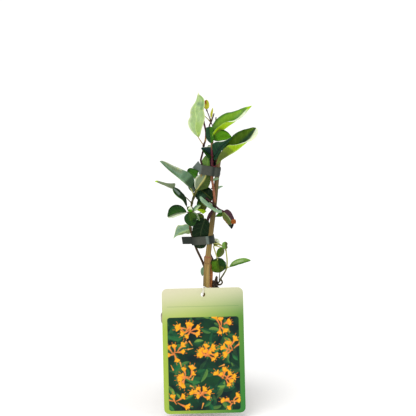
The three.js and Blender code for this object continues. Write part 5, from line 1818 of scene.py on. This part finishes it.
# clusters of printed flowers: across, up, the way that their middle points, how many flowers
CLUSTERS = (
    (-17, 22, 1.9, 9), (20, 27, 0.4, 6), (31, 2, 2.2, 7), (-32, -2, 1.0, 6), (3, -5, 1.3, 11),
    (-18, -31, 2.6, 8), (22, -30, 0.9, 8), (-3, -49, 1.7, 7), (-33, -57, 1.2, 4),
    (32, -58, 2.0, 5),
)  # fmt: skip
STROKE_STEPS = 14


def label_place():
    """Turns a point of the label's own flat frame into the part's frame, in millimetres."""
    lean = Matrix.Rotation(math.pi / 2 - math.radians(CARD_LEAN), 4, "X")
    turned = Matrix.Rotation(math.radians(CARD_TURN), 4, "Z")
    foot = Matrix.Translation((0, -LIP_RADIUS - 0.3, POT_HEIGHT - 0.8))
    shift = Matrix.Translation((CARD_SHIFT, CARD_ABOVE_LIP - CARD_HEIGHT / 2, 0))
    return foot @ lean @ shift @ turned


def card_half_width(y):
    over = min(max(abs(y) - (CARD_HEIGHT / 2 - CARD_CORNER), 0), CARD_CORNER)
    return CARD_WIDTH / 2 - CARD_CORNER + math.sqrt(CARD_CORNER**2 - over**2)


class Print:
    """A colour for each point of the card's front, painted form by form from back to front."""

    def __init__(self, x, y, ground):
        self.x, self.y = x, y
        self.colour = ground
        left, right, low, high = PICTURE
        inset_x = PICTURE_CORNER - np.minimum(x - left, right - x)
        inset_y = PICTURE_CORNER - np.minimum(y - low, high - y)
        corner = np.hypot(np.maximum(inset_x, 0), np.maximum(inset_y, 0))
        self.inside = smoothly(PICTURE_CORNER + 0.25, PICTURE_CORNER - 0.25, corner)

    def lay(self, share, colour, where=slice(None)):
        """Lays a colour over the points named by where, or over all of them."""
        share = np.clip(share, 0, 1)[:, None]
        self.colour[where] += (np.asarray(colour) - self.colour[where]) * share

    def near(self, spot, reach):
        """The points inside the picture that lie within reach of a spot."""
        close = (np.abs(self.x - spot[0]) < reach) & (np.abs(self.y - spot[1]) < reach)
        return np.flatnonzero(close & (self.inside > 0))

    def leaf(self, x, y, heading, length, width, shade, light):
        """A printed leaf with a lit half, a dark half and a pale midrib."""
        where = self.near((x, y), length)
        dx, dy = self.x[where] - x, self.y[where] - y
        along = (dx * math.cos(heading) + dy * math.sin(heading)) / length
        across = dy * math.cos(heading) - dx * math.sin(heading)
        half = width / 2 * np.sin(math.pi * np.clip(along, 0, 1) ** 0.8) ** 0.8
        mask = smoothly(0.3, -0.3, np.abs(across) - half) * (along > 0) * (along < 1)
        mask = mask * self.inside[where]
        share = smoothly(-0.5, 0.7, across / np.maximum(half, 0.1))
        veins = 0.1 * np.sin(along * 34 - np.abs(across) * 2.2)
        colour = shade + (light - shade) * np.clip(share + veins, 0, 1)[:, None]
        self.lay(mask, colour, where)
        rib = smoothly(0.5, 0.15, np.abs(across)) * mask
        self.lay(0.5 * rib, light * 1.25, where)

    def stroke(self, points, widths, colour, edge=None):
        """A curved stroke through three points, with a width at each of them."""
        a, b, c = (np.array(p, float) for p in points)
        near = self.near((a + c) / 2, np.abs(a - c).max() + np.abs(b - a).max() + 4)
        best = np.full(len(near), 99.0)
        where = np.zeros(len(near))
        previous = a
        for s in np.linspace(0, 1, STROKE_STEPS + 1)[1:]:
            spot = a * (1 - s) ** 2 + b * 2 * s * (1 - s) + c * s**2
            step = spot - previous
            dx, dy = self.x[near] - previous[0], self.y[near] - previous[1]
            part = np.clip((dx * step[0] + dy * step[1]) / max(step @ step, 1e-9), 0, 1)
            along = s + (part - 1) / STROKE_STEPS
            gap = np.hypot(dx - part * step[0], dy - part * step[1])
            gap = gap - np.interp(along, (0, 0.5, 1), widths) / 2
            where = np.where(gap < best, along, where)
            best = np.minimum(best, gap)
            previous = spot
        shade = np.array(colour) * (0.82 + 0.3 * smoothly(0, 1, where))[:, None]
        if edge is not None:
            rim = smoothly(-0.9, 0, best)[:, None]
            shade = shade + (np.array(edge) - shade) * rim * 0.6
        self.lay(smoothly(0.25, -0.25, best) * self.inside[near], shade, near)

    def flower(self, x, y, heading, length, label):
        """One long-tubed flower that opens in a broad and a narrow lip."""
        rng = random.Random(round(x * 31 + y * 17 + heading * 5))
        ahead = np.array((math.cos(heading), math.sin(heading))) * length
        beside = np.array((-ahead[1], ahead[0]))
        base = np.array((x, y))
        bend = beside * rng.uniform(-0.14, 0.14)
        mouth = base + ahead * 0.62 + bend * 0.3
        tube_colour, petal, throat = (tuple(c) for c in (label.tube, label.petal, label.throat))
        knee = base + ahead * 0.35 + bend
        self.stroke((base, knee, mouth), (0.8, 1.3, 2.2), tube_colour, throat)
        for way, reach, wide in ((1, 0.3, 3.3), (-1, 0.24, 2.4), (0.25, 0.38, 2.8)):
            end = mouth + ahead * reach + beside * way * rng.uniform(0.16, 0.3)
            knee = mouth + ahead * reach * 0.75 + beside * way * 0.02
            self.stroke((mouth, knee, end), (1.6, wide, wide * 0.6), petal, throat)
        for way in (-0.1, 0.16):  # its stamens
            end = mouth + ahead * 0.55 + beside * way * 1.5
            knee = (mouth + end) / 2 + beside / length * way * 3
            self.stroke((mouth, knee, end), (0.3, 0.25, 0.25), petal)
            self.stroke((end, end, end + ahead / length), (0.6, 0.6, 0.5), throat)


def card_ground(x, y, label):
    """The card's plain print: sand at the top that turns green, and a thin rule."""
    down = (CARD_HEIGHT / 2 - y) / CARD_HEIGHT
    right = (x + CARD_WIDTH / 2) / CARD_WIDTH
    sand, lime, forest = (np.array(c) for c in (label.sand, label.lime, label.forest))
    green = lime + (forest - lime) * smoothly(0.15, 1.05, right * 0.7 + down * 0.25)[:, None]
    colour = sand + (green - sand) * smoothly(-0.06, 0.3, down + 0.08 * (right - 0.5))[:, None]
    rule = smoothly(0.35, 0.1, np.abs(y - RULE_HEIGHT)) * (np.abs(x) < PICTURE[1])
    return colour + (forest - colour) * 0.45 * rule[:, None]


def paint_label(x, y, label):
    """The card's print: its ground, and a picture of flowers among leaves."""
    card = Print(x, y, card_ground(x, y, label))
    night, leaf, sun = (np.array(c) for c in (label.night, label.leaf, label.sun))
    spots = (Vector((a * 0.05, b * 0.05, 3)) for a, b in zip(x, y))
    cloud = np.array([0.5 + 0.5 * noise.fractal(spot, 0.8, 2, 3) for spot in spots])
    ground = night + (leaf * 0.35 - night) * np.clip(cloud, 0, 1)[:, None]
    card.lay(card.inside, ground)
    rng = random.Random(2024)
    left, right, low, high = PICTURE
    for number in range(PRINTED_LEAVES):
        depth = number / (PRINTED_LEAVES - 1)  # 0 for the leaves at the back, 1 in front
        spot = (rng.uniform(left - 4, right + 4), rng.uniform(low - 4, high + 4))
        length = rng.uniform(8, 19)
        shade = night + (leaf - night) * (0.05 + 0.5 * depth)
        light = leaf + (sun - leaf) * depth * rng.uniform(0, 1) ** 1.5
        light = night + (light - night) * (0.25 + 0.75 * depth)
        heading, width = rng.uniform(0, 2 * math.pi), length * rng.uniform(0.38, 0.5)
        card.leaf(*spot, heading, length, width, shade, light)
    card.lay(0.6 * smoothly(0.5, 0.3, cloud) * card.inside, night)
    for across, up, lean, count in CLUSTERS:
        for k in range(count):
            heading = lean + (k / (count - 1) - 0.5) * 3.8 + rng.uniform(-0.3, 0.3)
            spot = across + rng.uniform(-3.5, 3.5), up + rng.uniform(-2.5, 2.5)
            card.flower(*spot, heading, rng.uniform(7, 13.5), label)
    for k in range(PRINTED_BUDS):
        spot = np.array((rng.uniform(left, right), rng.uniform(low, high)))
        bud = np.array((math.cos(k * 2.4), math.sin(k * 2.4))) * rng.uniform(3, 6)
        points = (spot, spot + bud * 0.6, spot + bud)
        card.stroke(points, (0.5, 0.9, 1.6), tuple(label.tube), tuple(label.petal))
    return card.colour


def card_front(cell):
    """Points and faces of the card's flat front, with the round hole cut out."""
    rows, columns = round(CARD_HEIGHT / cell), round(CARD_WIDTH / cell)
    levels = np.linspace(-CARD_HEIGHT / 2, CARD_HEIGHT / 2, rows)
    widths = np.array([card_half_width(level) for level in levels])
    x = widths[:, None] * np.linspace(-1, 1, columns)[None, :]
    flat = np.stack([x, levels[:, None] + 0 * x], axis=2).reshape(-1, 2)
    faces = np.array(grid_faces(rows, columns, wrap=False))
    cut = np.hypot(*(flat[faces].mean(axis=1) - EYE).T) < EYE_RADIUS
    faces = faces[~cut]
    used = np.zeros(len(flat), bool)
    used[np.unique(faces)] = True
    apart = flat - EYE
    gap = np.hypot(*apart.T)
    near = used & (gap < EYE_RADIUS + cell * 0.6)
    flat[near] = EYE + apart[near] * (EYE_RADIUS / gap[near])[:, None]
    faces = (np.cumsum(used) - 1)[faces]
    return flat[used], faces.tolist()


def card_rim(aim):
    """The point of the card's edge that lies in one direction from the hole's middle."""
    near, far = 0.0, CARD_HEIGHT + CARD_WIDTH
    for _ in range(26):
        reach = (near + far) / 2
        x, y = EYE + aim * reach
        if abs(y) < CARD_HEIGHT / 2 and abs(x) < card_half_width(y):
            near = reach
        else:
            far = reach
    return EYE + aim * near


def build_label(label):
    """The leaning label card: printed front, plain back and edge, and the eye for its tie."""
    where = label_place()
    skin = Skin()
    flat, faces = card_front(label.cell / MM)
    front = [where @ Vector((x, y, CARD_THICKNESS + INK_LIFT)) for x, y in flat]
    skin.add(front, faces, paint_label(flat[:, 0], flat[:, 1], label), front)

    aims = [np.array((math.cos(a), math.sin(a))) for a in round_angles(CARD_RIM_POINTS)]
    eye = np.array([EYE + aim * EYE_RADIUS for aim in aims])
    outer = np.array([card_rim(aim) for aim in aims])
    rings = [(eye, CARD_THICKNESS), (outer, CARD_THICKNESS), (outer, 0.0)]
    rings += [(outer + (eye - outer) * s, 0.0) for s in (0.02, 0.25, 0.5, 0.75, 0.98, 1)]
    points = [where @ Vector((x, y, z)) for ring, z in rings for x, y in ring]
    faces = grid_faces(len(rings), CARD_RIM_POINTS, wrap=True, closed=True)
    skin.add(points, faces, [tuple(label.card)] * len(points), points, surface=1)
    materials = [print_material(), card_material()]
    piece("plant_label", skin, materials, "label", crease=30)


TIE_ROUTE = (
    (1.7, -23.4, 135), (2, -20.4, 135), (4, -17.9, 135.2), (7.2, -17.5, 135.4),
    (10.4, -19.4, 135.6), (11.2, -22.6, 135.8), (9.8, -25.8, 136.4), (6.8, -29, 137.8),
    (4.1, -32.4, 140.2), (2.9, -35.2, 141.4), (2.5, -37.6, 140.6), (2.5, -39.1, 137.1),
    (2.5, -39.2, 134.5), (2.5, -37.9, 133.1), (2.5, -36.2, 133.6), (2.4, -34.4, 134.6),
    (2, -31, 135.2), (1.7, -27, 135),
)  # fmt: skip
TIE_RADIUS = 0.65
TIE_STEP = 0.5
STRANDS = 3
STRAND_SIDES = 8
TWISTS = 26  # whole turns of the strands round the loop


def build_tie(label):
    """The white tie: three strands twisted into one closed loop."""
    spots = evenly(smooth_path(TIE_ROUTE, closed=True), TIE_STEP)[0][:-1]
    loop_axes = axes_along(spots, closed=True)
    skin = Skin()
    for strand in range(STRANDS):
        route = []
        for i, spot in enumerate(spots):
            angle = 2 * math.pi * (TWISTS * i / len(spots) + strand / STRANDS)
            route.append(spot + outward(loop_axes[i], angle) * (TIE_RADIUS * 0.5))
        strand_axes = axes_along(route, closed=True)
        points, grains = [], []
        for i, spot in enumerate(route):
            for angle in round_angles(STRAND_SIDES):
                points.append(spot + outward(strand_axes[i], angle) * (TIE_RADIUS * 0.54))
                grains.append((math.cos(angle) + strand, math.sin(angle), i * TIE_STEP))
        faces = grid_faces(len(route), STRAND_SIDES, wrap=True, closed=True)
        skin.add(points, faces, [tuple(label.cord)] * len(points), grains)
    piece("label_tie_cord", skin, [cord_material()], "label_tie")


# ---------------------------------------------------------------- stage

AIM = Vector((0.008, 0, 0.2221))
CAMERA_RISE = math.radians(13)
SUN_PLACE, LAMP_PLACE = (-0.8, -0.9, 2.6), (1.3, -0.7, 0.9)
WARM_WHITE, COOL_WHITE = (1, 0.985, 0.96), (0.96, 0.98, 1)
FLOOR_RADII = (0.3, 1, 3, 10)
FLOOR_SIDES = 96


def build_camera(stage):
    camera = bpy.data.cameras.new("camera")
    camera.lens = stage.lens
    camera.sensor_width = 36
    camera.clip_end = 60
    camera.dof.use_dof = False
    eye = bpy.data.objects.new("camera", camera)
    away = Vector((0, -math.cos(CAMERA_RISE), math.sin(CAMERA_RISE)))
    eye.location = AIM + away * stage.distance
    eye.rotation_euler = (math.pi / 2 - CAMERA_RISE, 0, 0)
    bpy.context.scene.collection.objects.link(eye)
    bpy.context.scene.camera = eye


def build_light(name, kind, place_at, power, tint, **settings):
    lamp = bpy.data.lights.new(name, kind)
    for key, value in settings.items():
        setattr(lamp, key, value)
    lamp.energy = power
    lamp.color = tint
    holder = bpy.data.objects.new(name, lamp)
    holder.location = place_at
    holder.rotation_euler = (AIM - Vector(place_at)).to_track_quat("-Z", "Y").to_euler()
    bpy.context.scene.collection.objects.link(holder)


def build_surroundings(brightness):
    world = bpy.data.worlds.new("white_surroundings")
    bpy.context.scene.world = world
    world.use_nodes = True
    sky = world.node_tree.nodes["Background"]
    sky.inputs["Color"].default_value = (1, 1, 1, 1)
    sky.inputs["Strength"].default_value = brightness


def build_floor(brightness):
    clear("pale_floor")
    points = [(0, 0, 0)]
    for radius in FLOOR_RADII:
        for angle in round_angles(FLOOR_SIDES):
            points.append((radius * math.cos(angle), radius * math.sin(angle), 0))
    faces = [[0, 1 + k, 1 + (k + 1) % FLOOR_SIDES] for k in range(FLOOR_SIDES)]
    for face in grid_faces(len(FLOOR_RADII), FLOOR_SIDES, wrap=True, flip=True):
        faces.append([1 + corner for corner in face])
    mesh = bpy.data.meshes.new("pale_floor")
    mesh.from_pydata(points, [], faces)
    mesh.materials.append(floor_material(brightness))
    floor = bpy.data.objects.new("pale_floor", mesh)
    bpy.context.scene.collection.objects.link(floor)


def build_stage(stage):
    """Camera, soft lights, white surroundings and a pale floor."""
    build_camera(stage)
    build_light("key_light", "SUN", SUN_PLACE, stage.key, WARM_WHITE, angle=stage.softness)
    build_light("fill_light", "AREA", LAMP_PLACE, stage.fill, COOL_WHITE, shape="DISK", size=0.9)
    bpy.context.scene.view_settings.view_transform = "Standard"
    build_surroundings(stage.ambient)
    build_floor(stage.floor)


# ---------------------------------------------------------------- operators and panel


class StageOperator(bpy.types.Operator):
    """Set up the camera, the lights and the pale floor"""

    bl_idname = "honeysuckle.stage"
    bl_label = "Stage"

    def execute(self, context):
        build_stage(context.scene.honeysuckle.stage)
        return {"FINISHED"}


class TieOperator(bpy.types.Operator):
    """Build the white tie that holds the label"""

    bl_idname = "honeysuckle.tie"
    bl_label = "Label Tie"

    def execute(self, context):
        build_tie(context.scene.honeysuckle.label)
        return {"FINISHED"}


class PotOperator(bpy.types.Operator):
    """Build the nursery pot and the soil in it"""

    bl_idname = "honeysuckle.pot"
    bl_label = "Pot and Soil"

    def execute(self, context):
        build_pot(context.scene.honeysuckle.pot)
        build_soil(context.scene.honeysuckle.pot)
        return {"FINISHED"}


class CaneOperator(bpy.types.Operator):
    """Build the bamboo cane"""

    bl_idname = "honeysuckle.cane"
    bl_label = "Cane"

    def execute(self, context):
        build_cane(context.scene.honeysuckle.cane)
        return {"FINISHED"}


class StumpOperator(bpy.types.Operator):
    """Build the old woody stump"""

    bl_idname = "honeysuckle.stump"
    bl_label = "Woody Stump"

    def execute(self, context):
        build_stump(context.scene.honeysuckle.stems)
        return {"FINISHED"}


class ShootsOperator(bpy.types.Operator):
    """Build the three leafy shoots"""

    bl_idname = "honeysuckle.shoots"
    bl_label = "Leafy Shoots"

    def execute(self, context):
        build_leader(context.scene.honeysuckle)
        build_left(context.scene.honeysuckle)
        build_low(context.scene.honeysuckle)
        return {"FINISHED"}


class TapesOperator(bpy.types.Operator):
    """Build the two tying tapes"""

    bl_idname = "honeysuckle.tapes"
    bl_label = "Tying Tapes"

    def execute(self, context):
        build_tapes(context.scene.honeysuckle)
        return {"FINISHED"}


class LabelOperator(bpy.types.Operator):
    """Build the printed plant label"""

    bl_idname = "honeysuckle.label"
    bl_label = "Label"

    def execute(self, context):
        build_label(context.scene.honeysuckle.label)
        return {"FINISHED"}


OPERATORS = (
    StageOperator,
    TieOperator,
    PotOperator,
    CaneOperator,
    StumpOperator,
    ShootsOperator,
    TapesOperator,
    LabelOperator,
)


class VinePanel(bpy.types.Panel):
    """Lists the vine's pieces and their settings"""

    bl_idname = "VIEW3D_PT_honeysuckle"
    bl_label = "Honeysuckle Vine"
    bl_space_type = "VIEW_3D"
    bl_region_type = "UI"
    bl_category = "Honeysuckle"

    def draw(self, context):
        for operator in OPERATORS:
            self.layout.operator(operator.bl_idname)
        settings = context.scene.honeysuckle
        for group in ("foliage", "stems", "cane", "pot", "tape", "label", "stage"):
            box = self.layout.box()
            box.label(text=group.title())
            values = getattr(settings, group)
            for key in values.__annotations__:
                box.prop(values, key)


CLASSES = (
    VineFoliage,
    VineStems,
    VineCane,
    VinePot,
    VineTape,
    VineLabel,
    VineStage,
    VineSettings,
    *OPERATORS,
    VinePanel,
)


def register():
    for made in CLASSES:
        bpy.utils.register_class(made)
    bpy.types.Scene.honeysuckle = PointerProperty(
        type=VineSettings, name="Honeysuckle", description="Settings of the honeysuckle vine"
    )


def unregister():
    del bpy.types.Scene.honeysuckle
    for made in reversed(CLASSES):
        bpy.utils.unregister_class(made)


def main():
    register()
    for operator in OPERATORS:
        getattr(bpy.ops.honeysuckle, operator.bl_idname.split(".")[1])()


if __name__ == "__main__":
    main()
